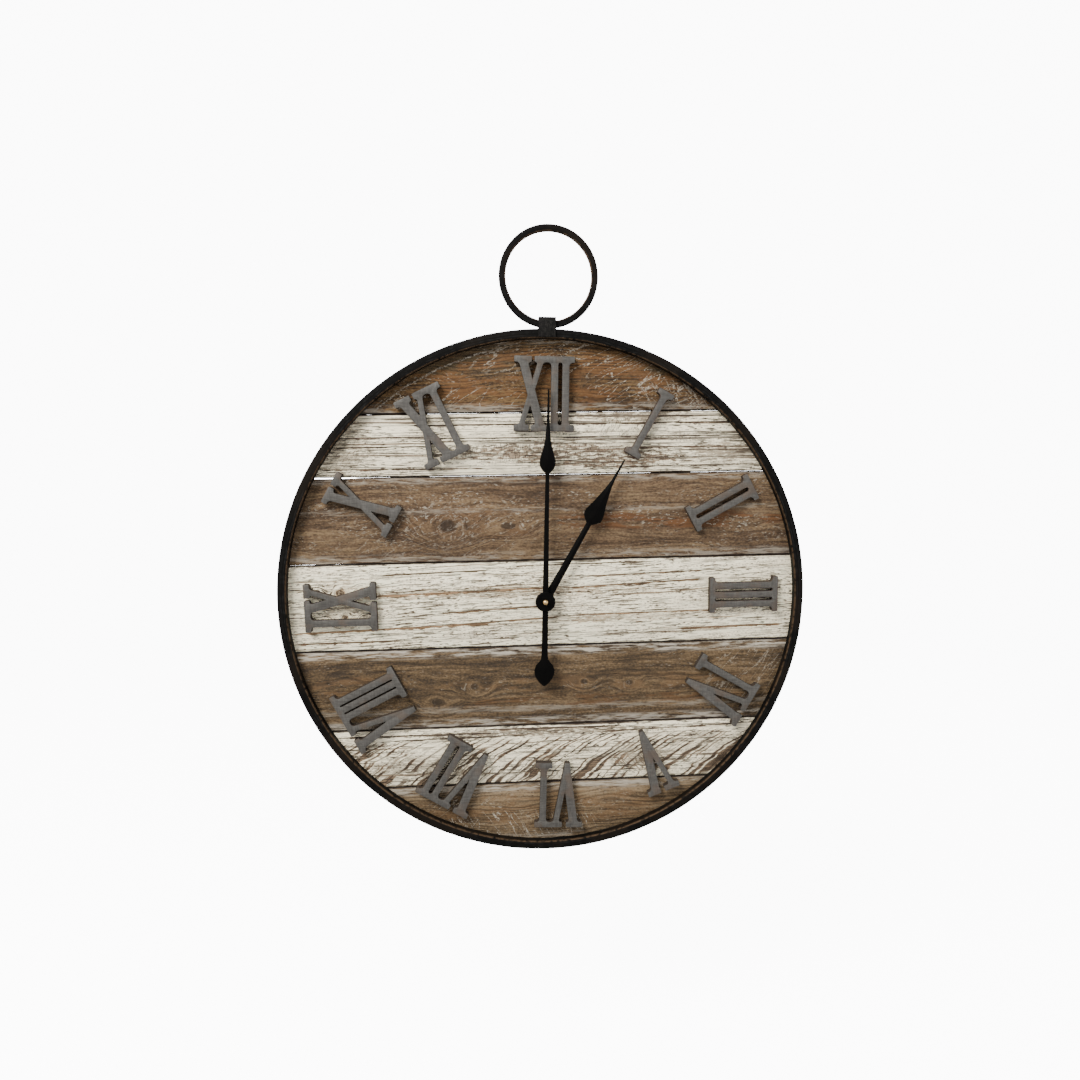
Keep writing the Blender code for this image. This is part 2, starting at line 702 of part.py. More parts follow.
def wheel(name, at, wheel_gear, pinion_gear, arbor_span, look):
    solid = join(rod(ARBOR, *arbor_span, 12), wheel_gear, pinion_gear)
    shift(solid, at)
    finish(solid, name, look, None, (at[0], 0.0, at[1]))


def train():
    reverser_phase = meshed(0.0, CANNON, REVERSER, TO_REVERSER)
    knob_phase = meshed(reverser_phase, REVERSER, KNOB_PINION, TO_KNOB)
    hour_phase = meshed(0.0, REVERSER_PINION, HOUR, TO_REVERSER + math.pi)
    third_phase = meshed(0.0, CENTRE, THIRD_PINION, TO_THIRD)
    fourth_phase = meshed(0.0, THIRD, FOURTH_PINION, TO_FOURTH)
    step_phase = meshed(0.0, FOURTH, STEP_PINION, TO_STEP)
    rotor_phase = meshed(0.0, STEP, ROTOR_PINION, TO_ROTOR)
    front_pivot = WALL_INNER + PIVOT_DEEP - 0.2
    rear_pivot = COVER_INNER - PIVOT_DEEP + 0.2

    foot = LAYER_BRIDGE[1] - 0.7
    arbor = turned(((0, FACE + 18.0), (1.3, FACE + 18.0), (1.3, FACE + 15.2), (MINUTE_ARBOR, FACE + 15.2),
                    (MINUTE_ARBOR, foot), (0, foot)), 20)
    finish(join(arbor, gear(CANNON, M_MOTION, 0.0, *LAYER_CANNON)), "minute_arbor", BRASS)

    bore = rod(MINUTE_ARBOR + 0.1, LAYER_CENTRE[0] - 3, LAYER_CENTRE[1] + 3, 24)
    finish(cut(gear(CENTRE, M_CENTRE, 0.0, *LAYER_CENTRE), bore), "centre_wheel", BRASS)

    pipe = join(rod(HOUR_PIPE, LAYER_HOUR[0], FACE + 11.6, 24),
                gear(HOUR, M_MOTION, hour_phase, *LAYER_HOUR))
    finish(cut(pipe, rod(MINUTE_ARBOR + 0.2, LAYER_HOUR[0] - 3, FACE + 15, 24)), "hour_wheel", WHITE_PLASTIC)

    wheel("reverser_wheel", REVERSER_AT, gear(REVERSER, M_MOTION, reverser_phase, *LAYER_CANNON),
          gear(REVERSER_PINION, M_MOTION, 0.0, LAYER_CANNON[1] - 0.2, LAYER_HOUR[1]),
          (LAYER_CANNON[0] - 0.2, front_pivot), WHITE_PLASTIC)
    wheel("third_wheel", THIRD_AT, gear(THIRD, M_THIRD, 0.0, *LAYER_THIRD),
          gear(THIRD_PINION, M_CENTRE, third_phase, *LAYER_CENTRE), (rear_pivot, front_pivot), WHITE_PLASTIC)
    wheel("fourth_wheel", FOURTH_AT, gear(FOURTH, M_FOURTH, 0.0, *LAYER_FOURTH),
          gear(FOURTH_PINION, M_THIRD, fourth_phase, LAYER_FOURTH[1] - 0.2, LAYER_THIRD[1]),
          (rear_pivot, LAYER_BRIDGE[1] - 0.2), WHITE_PLASTIC)
    wheel("intermediate_wheel", STEP_AT, gear(STEP, M_STEP, 0.0, *LAYER_STEP),
          gear(STEP_PINION, M_FOURTH, step_phase, LAYER_STEP[1] - 0.2, LAYER_FOURTH[1]),
          (rear_pivot, LAYER_BRIDGE[1] - 0.2), WHITE_PLASTIC)
    magnet = rod(2.2, LAYER_STATOR[0] - 0.5, LAYER_STATOR[1] + 0.5, 24)
    wheel("rotor", ROTOR_AT, magnet,
          gear(ROTOR_PINION, M_STEP, rotor_phase, LAYER_STATOR[1] + 0.3, LAYER_STEP[1]),
          (rear_pivot, LAYER_BRIDGE[1] - 0.2), ZINC)

    knob = join(rod(5.5, 0.9, COVER_BACK - 0.4, 24), rod(1.2, COVER_BACK - 0.8, front_pivot, 16),
                gear(KNOB_PINION, M_MOTION, knob_phase, *LAYER_CANNON))
    shift(knob, KNOB_AT)
    finish(knob, "setting_knob", WHITE_PLASTIC, None, (KNOB_AT[0], 0.0, KNOB_AT[1]))


def front_case():
    half = CASE / 2
    inner = half - CASE_WALL
    case = block((-half, CASE_BACK, -half), (half, CASE_FRONT, half), 3.0, True)
    works = block((-inner, CASE_BACK - 5, DIVIDER + FRONT_WALL), (inner, WALL_INNER, inner))
    bay = block((-inner, CASE_BACK - 5, -inner), (inner, WALL_INNER, DIVIDER))
    holes = [rod(BUSH + GAP, WALL_INNER - 2, CASE_FRONT + 2, 24)]
    for at, radius in ((REVERSER_AT, ARBOR), (THIRD_AT, ARBOR), (KNOB_AT, 1.2)):
        hole = rod(radius + RUN, WALL_INNER - 2, WALL_INNER + PIVOT_DEEP, 16)
        shift(hole, at)
        holes.append(hole)
    finish(cut(case, works, bay, *holes), "movement_case", BLACK_PLASTIC)


def rear_cover():
    half = CASE / 2
    low = DIVIDER + 0.2
    cover = block((-half, COVER_BACK, low), (half, COVER_INNER, half), 3.0, True)
    knob_hole = rod(1.2 + 0.25, COVER_BACK - 2, COVER_INNER + 2, 16)
    shift(knob_hole, KNOB_AT)
    holes = [knob_hole]
    for at in (THIRD_AT, FOURTH_AT, STEP_AT, ROTOR_AT):
        hole = rod(ARBOR + RUN, COVER_INNER - PIVOT_DEEP, COVER_INNER + 2, 12)
        shift(hole, at)
        holes.append(hole)
    finish(cut(cover, *holes), "movement_cover", BLACK_PLASTIC)


def train_bridge():
    low, high = LAYER_BRIDGE
    plate = block((-13.0, low, -6.0), (18.6, high, 25.6), 2.0, True)
    posts = [block((x - 1.2, high - 0.3, z - 1.2), (x + 1.2, WALL_INNER - GAP, z + 1.2))
             for x, z in ((-11.2, -4.2), (16.6, -4.2), (16.6, 23.6), (-11.2, 23.6))]
    join(plate, *posts)
    holes = [rod(MINUTE_ARBOR + RUN, low - 2, high + 2, 20)]
    for at, radius in ((THIRD_AT, ARBOR), (FOURTH_AT, ARBOR), (STEP_AT, ARBOR), (ROTOR_AT, ARBOR),
                       (KNOB_AT, 1.2)):
        hole = rod(radius + RUN, low - 2, high + 2, 12)
        shift(hole, at)
        holes.append(hole)
    finish(cut(plate, *holes), "train_bridge", BLACK_PLASTIC)


def motor():
    low, high = LAYER_STATOR
    left, right, leg = ROTOR_AT[0] - 3.6, 23.4, 4.0
    outline = [(left, -3.5), (right, -3.5), (right, 0.5), (left + 7.4, 0.5), (left + 7.4, 24.5 - leg),
               (right, 24.5 - leg), (right, 24.5), (left, 24.5)]
    finish(flat(outline, low, high, [circle(*ROTOR_AT, 2.8)]), "stator", ZINC)
    x = right - 2.9
    core = block((x - 1.0, high + GAP, -3.3), (x + 1.0, high + GAP + 1.2, 24.3))
    finish(core, "coil_core", ZINC)
    centre = high + GAP + 0.6
    ends = (1.2, 19.8)
    profile = ((2.8, ends[1]), (2.8, ends[1] - 1.0), (2.2, ends[1] - 1.0), (2.2, ends[0] + 1.0),
               (2.8, ends[0] + 1.0), (2.8, ends[0]), (1.4, ends[0]), (1.4, ends[1]))
    coil = turned(profile, 20)
    coil.data.transform(Matrix.Rotation(-math.pi / 2, 4, "X"))
    coil.data.transform(Matrix.Translation((x * MM, -centre * MM, 0)))
    finish(coil, "coil", COPPER)


def electrics():
    finish(block((-26.0, 8.0, -8.8), (-12.5, 9.0, 12.0)), "circuit_board", GREEN_BOARD)
    can = turned(((0, 3.0), (0.8, 3.0), (0.8, -3.0), (0, -3.0)), 12)
    can.data.transform(Matrix.Rotation(math.pi / 2, 4, "X"))
    can.data.transform(Matrix.Translation((-19.0 * MM, -6.9 * MM, 2.0 * MM)))
    finish(can, "quartz_crystal", ZINC)
    inner = CASE / 2 - CASE_WALL
    for side, name in ((1, "contact_plus"), (-1, "contact_minus")):
        near, far = side * (inner - 0.5), side * (inner - 0.1)
        low_x, high_x = min(near, far), max(near, far)
        plate = block((low_x, 5.8, BATTERY_Z - 5), (high_x, 15.2, BATTERY_Z + 5))
        spring_low, spring_high = sorted((side * (inner - 0.95), near + side * 0.1))
        tongue = block((spring_low, 8.6, BATTERY_Z - 2), (spring_high, 12.4, BATTERY_Z + 2))
        finish(join(plate, tongue), name, ZINC)


def battery():
    half = BATTERY_LENGTH / 2
    r = BATTERY_RADIUS
    profile = ((0, half), (2.6, half), (2.7, half - 1.2), (r - 1.0, half - 1.2), (r, half - 2.0),
               (r, -half + 0.6), (r - 0.6, -half), (0, -half))
    cell = turned(profile, 24)
    cell.data.transform(Matrix.Rotation(math.pi / 2, 4, "Z"))
    cell.data.transform(Matrix.Translation((0, -BATTERY_DEPTH * MM, BATTERY_Z * MM)))
    finish(cell, "battery", CELL_SLEEVE, None, (0.0, BATTERY_DEPTH, BATTERY_Z))


def centre_fixings():
    """The brass bush that clamps the movement to the middle board, with its washer and nut."""
    bore = HOUR_PIPE + 0.25
    bush = turned(((BUSH, FACE + 6.2), (BUSH, WALL_INNER + 0.1), (bore, WALL_INNER + 0.1),
                   (bore, FACE + 6.2)), 24)
    finish(bush, "centre_bush", BRASS)
    washer = turned(((8.5, FACE + GAP + 1.0), (8.5, FACE + GAP), (4.3, FACE + GAP),
                     (4.3, FACE + GAP + 1.0)), 24)
    finish(washer, "front_washer", BRASS)
    nut = flat(circle(0, 0, 6.9, 6), FACE + 1.6, FACE + 4.8, [circle(0, 0, 4.1)])
    finish(nut, "front_nut", BRASS)


def hoop_screws():
    """Round-head screws through the hoop's leg into the ends of four boards."""
    for i, (angle, depth) in enumerate(((8.0, 26.3), (172.0, 26.3), (262.0, 26.3), (278.0, 26.3))):
        head = turned(((0, 1.9), (2.0, 1.7), (3.2, 0.9), (3.5, 0.0), (0, 0.0)), 16)
        head.data.transform(Matrix.Rotation(math.radians(90), 4, "Z"))
        head.data.transform(Matrix.Translation(((HOOP_RADIUS + GAP) * MM, -depth * MM, 0)))
        head.data.transform(Matrix.Rotation(math.radians(-angle), 4, "Y"))
        finish(head, f"hoop_screw_{i + 1}", BLACK_IRON)


planks()
battens()
hoop()
hanging_ring()
ring_clip()
numerals()
hands()
train()
front_case()
rear_cover()
train_bridge()
motor()
electrics()
battery()
centre_fixings()
hoop_screws()
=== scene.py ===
import math

import bpy
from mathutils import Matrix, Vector


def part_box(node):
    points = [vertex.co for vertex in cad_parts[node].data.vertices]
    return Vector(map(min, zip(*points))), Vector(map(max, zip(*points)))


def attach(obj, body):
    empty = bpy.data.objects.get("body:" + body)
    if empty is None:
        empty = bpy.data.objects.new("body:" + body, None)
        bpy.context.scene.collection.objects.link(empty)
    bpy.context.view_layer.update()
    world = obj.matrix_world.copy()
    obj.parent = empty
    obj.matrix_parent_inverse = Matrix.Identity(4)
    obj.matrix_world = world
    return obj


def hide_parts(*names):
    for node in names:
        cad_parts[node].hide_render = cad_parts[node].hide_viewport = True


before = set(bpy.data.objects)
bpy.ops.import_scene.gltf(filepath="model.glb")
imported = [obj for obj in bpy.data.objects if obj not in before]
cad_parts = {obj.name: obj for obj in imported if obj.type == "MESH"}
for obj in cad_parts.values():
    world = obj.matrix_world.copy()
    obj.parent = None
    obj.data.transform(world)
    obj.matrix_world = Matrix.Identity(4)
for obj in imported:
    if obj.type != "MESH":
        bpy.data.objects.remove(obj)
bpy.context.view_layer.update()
MM = 0.001

# ---------------------------------------------------------------- boards
# Seven softwood boards butted side by side and sawn round together.  Odd boards are
# stained brown and dry-brushed with white; even boards are painted cream and rubbed
# back.  Each starts as a copy of its solid and gets worn, wavy edges; behind, the edges
# close up on their neighbours except at the left ends.

DIAL_TILT = math.radians(1.7)
SEAMS = (296.8, 212.0, 143.0, 46.5, -53.3, -148.3, -219.4, -296.8)
CHALK = (0.36, 0.315, 0.25)
CREAM = (0.91, 0.795, 0.575)
# The near-black of the painted shade along the boards' seams.
SEAM_SHADE = (0.022, 0.014, 0.009)
SAWN = (0.27, 0.175, 0.095)
BOARD_FACE, BOARD_BACK = -32.3, -20.3


class Sock:
    """A shader socket that can be used in sums; each operation adds its own node."""
    tree = None

    def __init__(self, socket):
        self.socket = socket

    @classmethod
    def add(cls, kind, values=None, out=0, stops=None, **settings):
        """Makes a node: its settings first, then the values or links of its sockets."""
        node = cls.tree.nodes.new(kind)
        for key, value in settings.items():
            setattr(node, key, value)
        if stops:
            ramp = node.color_ramp
            while len(ramp.elements) < len(stops):
                ramp.elements.new(0.5)
            for element, (where, shade_of) in zip(ramp.elements, stops):
                element.position = where
                element.color = (*shade_of, 1.0)
        for key, value in (values or {}).items():
            if isinstance(value, Sock):
                cls.tree.links.new(value.socket, node.inputs[key])
            else:
                node.inputs[key].default_value = value
        return cls(node.outputs[out])

    def math(self, operation, other=None):
        values = {0: self} if other is None else {0: self, 1: other}
        return Sock.add("ShaderNodeMath", values, operation=operation)

    def __add__(self, other):
        return self.math("ADD", other)

    def __sub__(self, other):
        return self.math("SUBTRACT", other)

    def __rsub__(self, other):
        return Sock.add("ShaderNodeMath", {0: other, 1: self}, operation="SUBTRACT")

    def __mul__(self, other):
        return self.math("MULTIPLY", other)

    def __truediv__(self, other):
        return self.math("DIVIDE", other)

    __radd__ = __add__
    __rmul__ = __mul__

    def __or__(self, other):
        return self.math("MAXIMUM", other)

    def __abs__(self):
        return self.math("ABSOLUTE")

    def step(self, low, high):
        """0 below low, 1 above high, smooth between; with low above high it is turned round."""
        if low > high:
            return 1 - self.step(high, low)
        return Sock.add("ShaderNodeMapRange", {"Value": self, "From Min": low, "From Max": high},
                        interpolation_type="SMOOTHSTEP")

    def tint(self, first, second):
        """The first colour where this is 0, the second where it is 1."""
        pair = [c if isinstance(c, Sock) else (*c, 1.0) for c in (first, second)]
        return Sock.add("ShaderNodeMix", {0: self, 6: pair[0], 7: pair[1]}, out=2, data_type="RGBA")

    def ramp(self, *stops):
        return Sock.add("ShaderNodeValToRGB", {0: self}, stops=stops)


def new_look(name, metallic=0.0, specular=0.5):
    """A material and its Principled shader; the wrapper writes into its tree from now on."""
    look = bpy.data.materials.new(name)
    look.use_nodes = True
    Sock.tree = look.node_tree
    shader = look.node_tree.nodes["Principled BSDF"]
    shader.inputs["Metallic"].default_value = metallic
    shader.inputs["Specular IOR Level"].default_value = specular
    return look, shader


def feed(shader, **sockets):
    """Links or sets the named inputs of a shader: Base_Color is Base Color."""
    for key, value in sockets.items():
        name = key.replace("_", " ")
        if isinstance(value, Sock):
            Sock.tree.links.new(value.socket, shader.inputs[name])
        else:
            shader.inputs[name].default_value = value


def place(turn=0.0):
    """x, y and z in millimetres, turned about the hands' axis."""
    where = Sock.add("ShaderNodeTexCoord", out=3)
    where = Sock.add("ShaderNodeMapping", {"Vector": where, "Rotation": (0, turn, 0),
                                           "Scale": (1000.0, 1000.0, 1000.0)})
    node = Sock.add("ShaderNodeSeparateXYZ", {0: where}).socket.node
    return [Sock(node.outputs[i]) for i in range(3)]


def bundle(x, y=0.0, z=0.0):
    return Sock.add("ShaderNodeCombineXYZ", {0: x, 1: y, 2: z})


def cloud(x, y=0.0, z=0.0, detail=2.0, rough=0.5):
    """Soft noise, 0 to 1, whose grain is one unit of the coordinates given."""
    return Sock.add("ShaderNodeTexNoise", {"Vector": bundle(x, y, z), "Scale": 1.0,
                                           "Detail": detail, "Roughness": rough})


def streaks(x, z, length, width, seed, detail=2.0, rough=0.55):
    """Noise drawn out along the board: its grain is length by width, in millimetres."""
    return cloud(x / length + seed * 1.31, seed * 0.77, z / width + seed, detail, rough)


def slant(x, z, degrees):
    """The two coordinates turned: along and across a direction in the board's face."""
    c, s = math.cos(math.radians(degrees)), math.sin(math.radians(degrees))
    return x * c + z * s, z * c - x * s


def veins(x, z, length, width, seed, half):
    """Long thin lines: where slow noise crosses its middle value."""
    return abs(streaks(x, z, length, width, seed, 1.0) - 0.5).step(half, half * 0.4)


def bump(height, depth):
    return Sock.add("ShaderNodeBump", {"Height": height, "Strength": 1.0, "Distance": depth * MM})


def spot(x, z, where, inner=0.2, outer=1.0):
    """A soft round patch: where gives its centre and its two half sizes."""
    cx, cz, half_x, half_z = where
    dx, dz = (x - cx) / half_x, (z - cz) / half_z
    return (dx * dx + dz * dz).step(outer, inner)


def grain(seed, knots, sway=30.0):
    """Board coordinates, a year-ring coordinate bent round the knots, and a mask of the knots."""
    x, y, z = place(DIAL_TILT)
    ring = z + (cloud(x / 150 + seed, 0.0, z / 45, 2.0) - 0.5) * sway
    cores = None
    for kx, kz, size, stretch in knots:
        dx, dz = (x - kx) / (stretch * size), (z - kz) / size
        away = (dx * dx + dz * dz).math("SQRT")
        near = away.step(3.6, 0.6)
        ring = ring * (1 - near) + (away * size + kz) * near
        core = away.step(0.80, 0.45)
        cores = core if cores is None else cores | core
    return x, y, z, ring, cores


def gash(x, z, wobble, start, end, half):
    """A ragged straight line in the face, from one point to another, tapering to nothing."""
    (x0, z0), (x1, z1) = start, end
    slope = (z1 - z0) / (x1 - x0)
    off = abs(z - x * slope + (wobble - 0.5) * 2.4 - (z0 - slope * x0))
    ends = (x - x0).step(0.0, 14.0) * (x1 - x).step(0.0, 14.0)
    thick = ends * (wobble * 2.6 - 0.45) * half
    return (thick - off).step(-0.25, 0.35)


def painted_seam_shade(x, z, number, depth, seed):
    """Painted shade: a dark ragged band along the two long edges of a board, where its seams fall in shadow.
    """
    ragged = streaks(x, z, 12.0, 2.0, seed, 3.0) * 3.2 * depth
    upper, lower = SEAMS[number - 1], SEAMS[number]
    return (upper - z - ragged).step(1.3, -0.2) | (z - lower - ragged).step(1.3, -0.2)


def sawn_back(tone):
    """The bare wood of a board's unpainted back."""
    return tone.ramp((0.2, tuple(c * 0.55 for c in SAWN)), (0.5, SAWN), (0.85, tuple(c * 1.5 for c in SAWN)))


def stained(number, dark, middle, light, knots=(), ring_width=5.0, ring_depth=0.5, warm=(),
            grey=(), flecks=0.5, fleck_cut=0.56, scratches=(), washes=(), arc=None):
    look, shader = new_look(f"board_{number}_stain", specular=0.3)
    seed = number * 13.7
    x, y, z, ring, cores = grain(seed, knots)
    blotch = streaks(x, z, 110.0, 26.0, seed + 1)
    bands = streaks(x, ring, 120.0, 5.5, seed + 2, 3.0)
    fibre = streaks(x, ring, 26.0, 1.7, seed + 3, 3.0, 0.65)
    crumb = streaks(x, z, 2.6, 1.5, seed + 4, 1.0)
    tone = 0.5 + (blotch - 0.5) * 0.9 + (bands - 0.5) * 1.1 + (fibre - 0.5) * 1.15 + (crumb - 0.5) * 0.85
    base = tone.ramp((0.18, dark), (0.5, middle), (0.85, light))
    for where, hue, amount in grey:
        base = (spot(x, z, where) * blotch.step(0.38, 0.60) * amount).tint(base, hue)
    for where, hue, amount in warm:
        ragged = streaks(x, z, 42.0, 9.0, seed + 5, 4.0, 0.6).step(0.47, 0.55)
        base = (spot(x, z, where, 0.5, 1.1) * ragged * amount).tint(base, hue)
    wander = streaks(x, z, 70.0, 16.0, seed + 6)
    rings = ((ring / ring_width + wander * 3.0) * 6.283).math("SINE") * 0.5 + 0.5
    rings = rings.step(0.45, 0.95) * streaks(x, z, 80.0, 18.0, seed + 7).step(0.34, 0.60)
    base = (rings * ring_depth).tint(base, tuple(c * 0.6 for c in dark))
    pores = streaks(x, ring, 8.0, 1.1, seed + 8).step(0.62, 0.70)
    base = (pores * 0.55).tint(base, tuple(c * 0.45 for c in dark))
    if cores:
        base = (cores * (0.55 + crumb * 0.4)).tint(base, tuple(c * 0.5 for c in dark))
    cluster = streaks(x, z, 60.0, 15.0, seed + 9).step(0.40, 0.66)
    white = streaks(x, ring, 4.5, 1.25, seed + 10).step(fleck_cut, fleck_cut + 0.09) * cluster * flecks
    dots = streaks(x, z, 2.4, 1.6, seed + 11, 1.0).step(0.40, 0.58)
    for where, angle, width, amount in scratches:
        along, across = slant(x, z, angle)
        line = veins(along, across, width * 6.0, width, seed + 12 + angle * 0.1, 0.022)
        white = white | (line * dots * spot(x, z, where, 0.4, 1.0) * amount)
    if arc:
        away = ((x * x + z * z).math("SQRT") + (wander - 0.5) * 5.0 - arc[0])
        worn_arc = abs(away).step(1.3, 0.5) * x.step(arc[1], arc[1] - 25.0)
        white = white | (worn_arc * dots * 0.75)
    for edge, reach, amount in washes:
        close = abs(z - edge).step(reach, reach * 0.3)
        rubbed = streaks(x, z, 24.0, 2.4, seed + 14, 3.0, 0.65).step(0.42, 0.60)
        white = white | (close * rubbed * amount)
    base = white.math("MINIMUM", 1.0).tint(base, CHALK)
    # Painted shade: the board is darkened along its seams.
    base = painted_seam_shade(x, z, number, 0.5, seed + 15).tint(base, SEAM_SHADE)
    base = (y.step(BOARD_FACE + 1.1, BOARD_FACE + 1.9) * 0.8).tint(base, tuple(c * 0.5 for c in middle))
    base = y.step(BOARD_BACK - 1.5, BOARD_BACK - 0.7).tint(base, sawn_back(tone))
    height = fibre * 0.9 + bands * 0.4 - rings * 0.25 - pores * 0.5 + white * 0.35 + crumb * 0.3
    feed(shader, Base_Color=base, Roughness=0.86 - white * 0.12, Normal=bump(height, 0.9))
    return look


def painted(number, cream, brown, knots=(), tilt=0.0, dash=(0.60, 0.42), groove=(9.0, 0.016, 0.8),
            worn=(), ticks=(), arcs=None, hatch=(), gashes=()):
    look, shader = new_look(f"board_{number}_paint", specular=0.3)
    seed = number * 11.3
    x, y, z, ring, cores = grain(seed, knots, 5.0)
    along, across = slant(x, ring, tilt)
    soft = streaks(x, z, 60.0, 12.0, seed + 1)
    crumb = streaks(x, z, 2.2, 1.3, seed + 2, 1.0)
    fibre = streaks(along, across, 30.0, 1.6, seed + 3, 3.0, 0.6)
    thread = streaks(along, across, 70.0, 1.3, seed + 13, 1.0)
    paint = (0.5 + (soft - 0.5) * 0.7 + (thread - 0.5) * 1.1 + (crumb - 0.5) * 1.15).ramp(
        (0.10, tuple(c * 0.38 for c in cream)), (0.40, cream),
        (0.8, tuple(min(c * 1.08, 0.95) for c in cream)))
    figure = 0.5 + (fibre - 0.5) * 1.4 + (soft - 0.5)
    wood = figure.ramp(
        (0.2, tuple(c * 0.4 for c in brown)), (0.5, brown), (0.8, tuple(c * 1.8 for c in brown)))
    cluster = streaks(x, z, 75.0, 17.0, seed + 4).step(dash[1], dash[1] + 0.20)
    cracks = streaks(along, across, 24.0, 1.15, seed + 5, 1.0).step(dash[0], dash[0] + 0.045)
    nicks = streaks(along, across, 7.0, 1.2, seed + 16, 1.0).step(dash[0] + 0.02, dash[0] + 0.07)
    cracks = (cracks | nicks) * (0.30 + cluster * 0.70)
    broken = streaks(x, z, 70.0, 4.0, seed + 6).step(0.36, 0.48)
    lines = veins(along, across, 900.0, groove[0], seed + 7, groove[1]) * broken * groove[2]
    bare = streaks(along, across, 200.0, 2.6, seed + 8, 2.0).step(0.63, 0.67) * 0.9
    ragged = streaks(x, z, 9.0, 1.9, seed + 9, 3.0, 0.65)
    for where, amount in worn:
        zone = spot(x, z, where, 0.0, 1.3)
        bare = bare | ((ragged + zone * 0.22).step(0.635, 0.70) * zone.step(0.0, 0.25) * amount)
    for where, angle, amount in ticks:
        down, sideways = slant(x, z, angle)
        cut = streaks(down, sideways, 4.5, 1.3, seed + 10 + angle * 0.1, 1.0).step(0.56, 0.64)
        cracks = cracks | (cut * spot(x, z, where, 0.1, 1.1) * amount)
    if arcs:
        radius, centre_z, spacing, top = arcs
        dz = z - centre_z
        swing = (radius * radius - dz * dz).math("MAXIMUM", 0.0).math("SQRT")
        lane = x + swing + (soft - 0.5) * 16.0
        sweep = cloud(lane / spacing, 0.0, z / 60.0 + seed, 1.0)
        zone = (z + (soft - 0.5) * 22.0).step(top, top - 7.0)
        patch = streaks(x, z, 55.0, 20.0, seed + 11).step(0.33, 0.50)
        bare = bare | (sweep.step(0.50, 0.56) * zone * (0.35 + patch * 0.65))
        cracks = cracks | (sweep.step(0.62, 0.67) * zone * 0.8)
    for where, angle, amount in hatch:
        down, sideways = slant(x, z, angle)
        cut = veins(down, sideways, 26.0, 5.0, seed + 12 + angle * 0.1, 0.05)
        bare = bare | (cut * spot(x, z, where, 0.2, 1.1) * amount)
    wobble = streaks(x, z, 16.0, 6.0, seed + 17, 3.0, 0.6)
    for start, end, half, dark in gashes:
        line = gash(x, z, wobble, start, end, half)
        bare = bare | line
        cracks = cracks | (line * fibre.step(0.62 - dark * 0.3, 0.70 - dark * 0.3) * (0.4 + dark * 0.6))
    if cores:
        bare = bare | (cores * 0.8)
        cracks = cracks | (cores * crumb.step(0.40, 0.60))
    cracks = (cracks | lines).math("MINIMUM", 1.0)
    base = bare.math("MINIMUM", 1.0).tint(paint, wood)
    base = (cracks * 0.95).tint(base, tuple(c * 0.26 for c in brown))
    # Painted shade: the board is darkened along its seams.
    base = painted_seam_shade(x, z, number, 0.6, seed + 15).tint(base, SEAM_SHADE)
    base = (y.step(BOARD_FACE + 1.1, BOARD_FACE + 1.9) * 0.85).tint(base, tuple(c * 0.8 for c in brown))
    base = y.step(BOARD_BACK - 1.5, BOARD_BACK - 0.7).tint(base, sawn_back(figure))
    height = (1 - bare) * 0.45 - cracks * 0.9 + fibre * 0.4 + crumb * 0.4
    feed(shader, Base_Color=base, Roughness=0.66 + bare * 0.2, Normal=bump(height, 1.0))
    return look


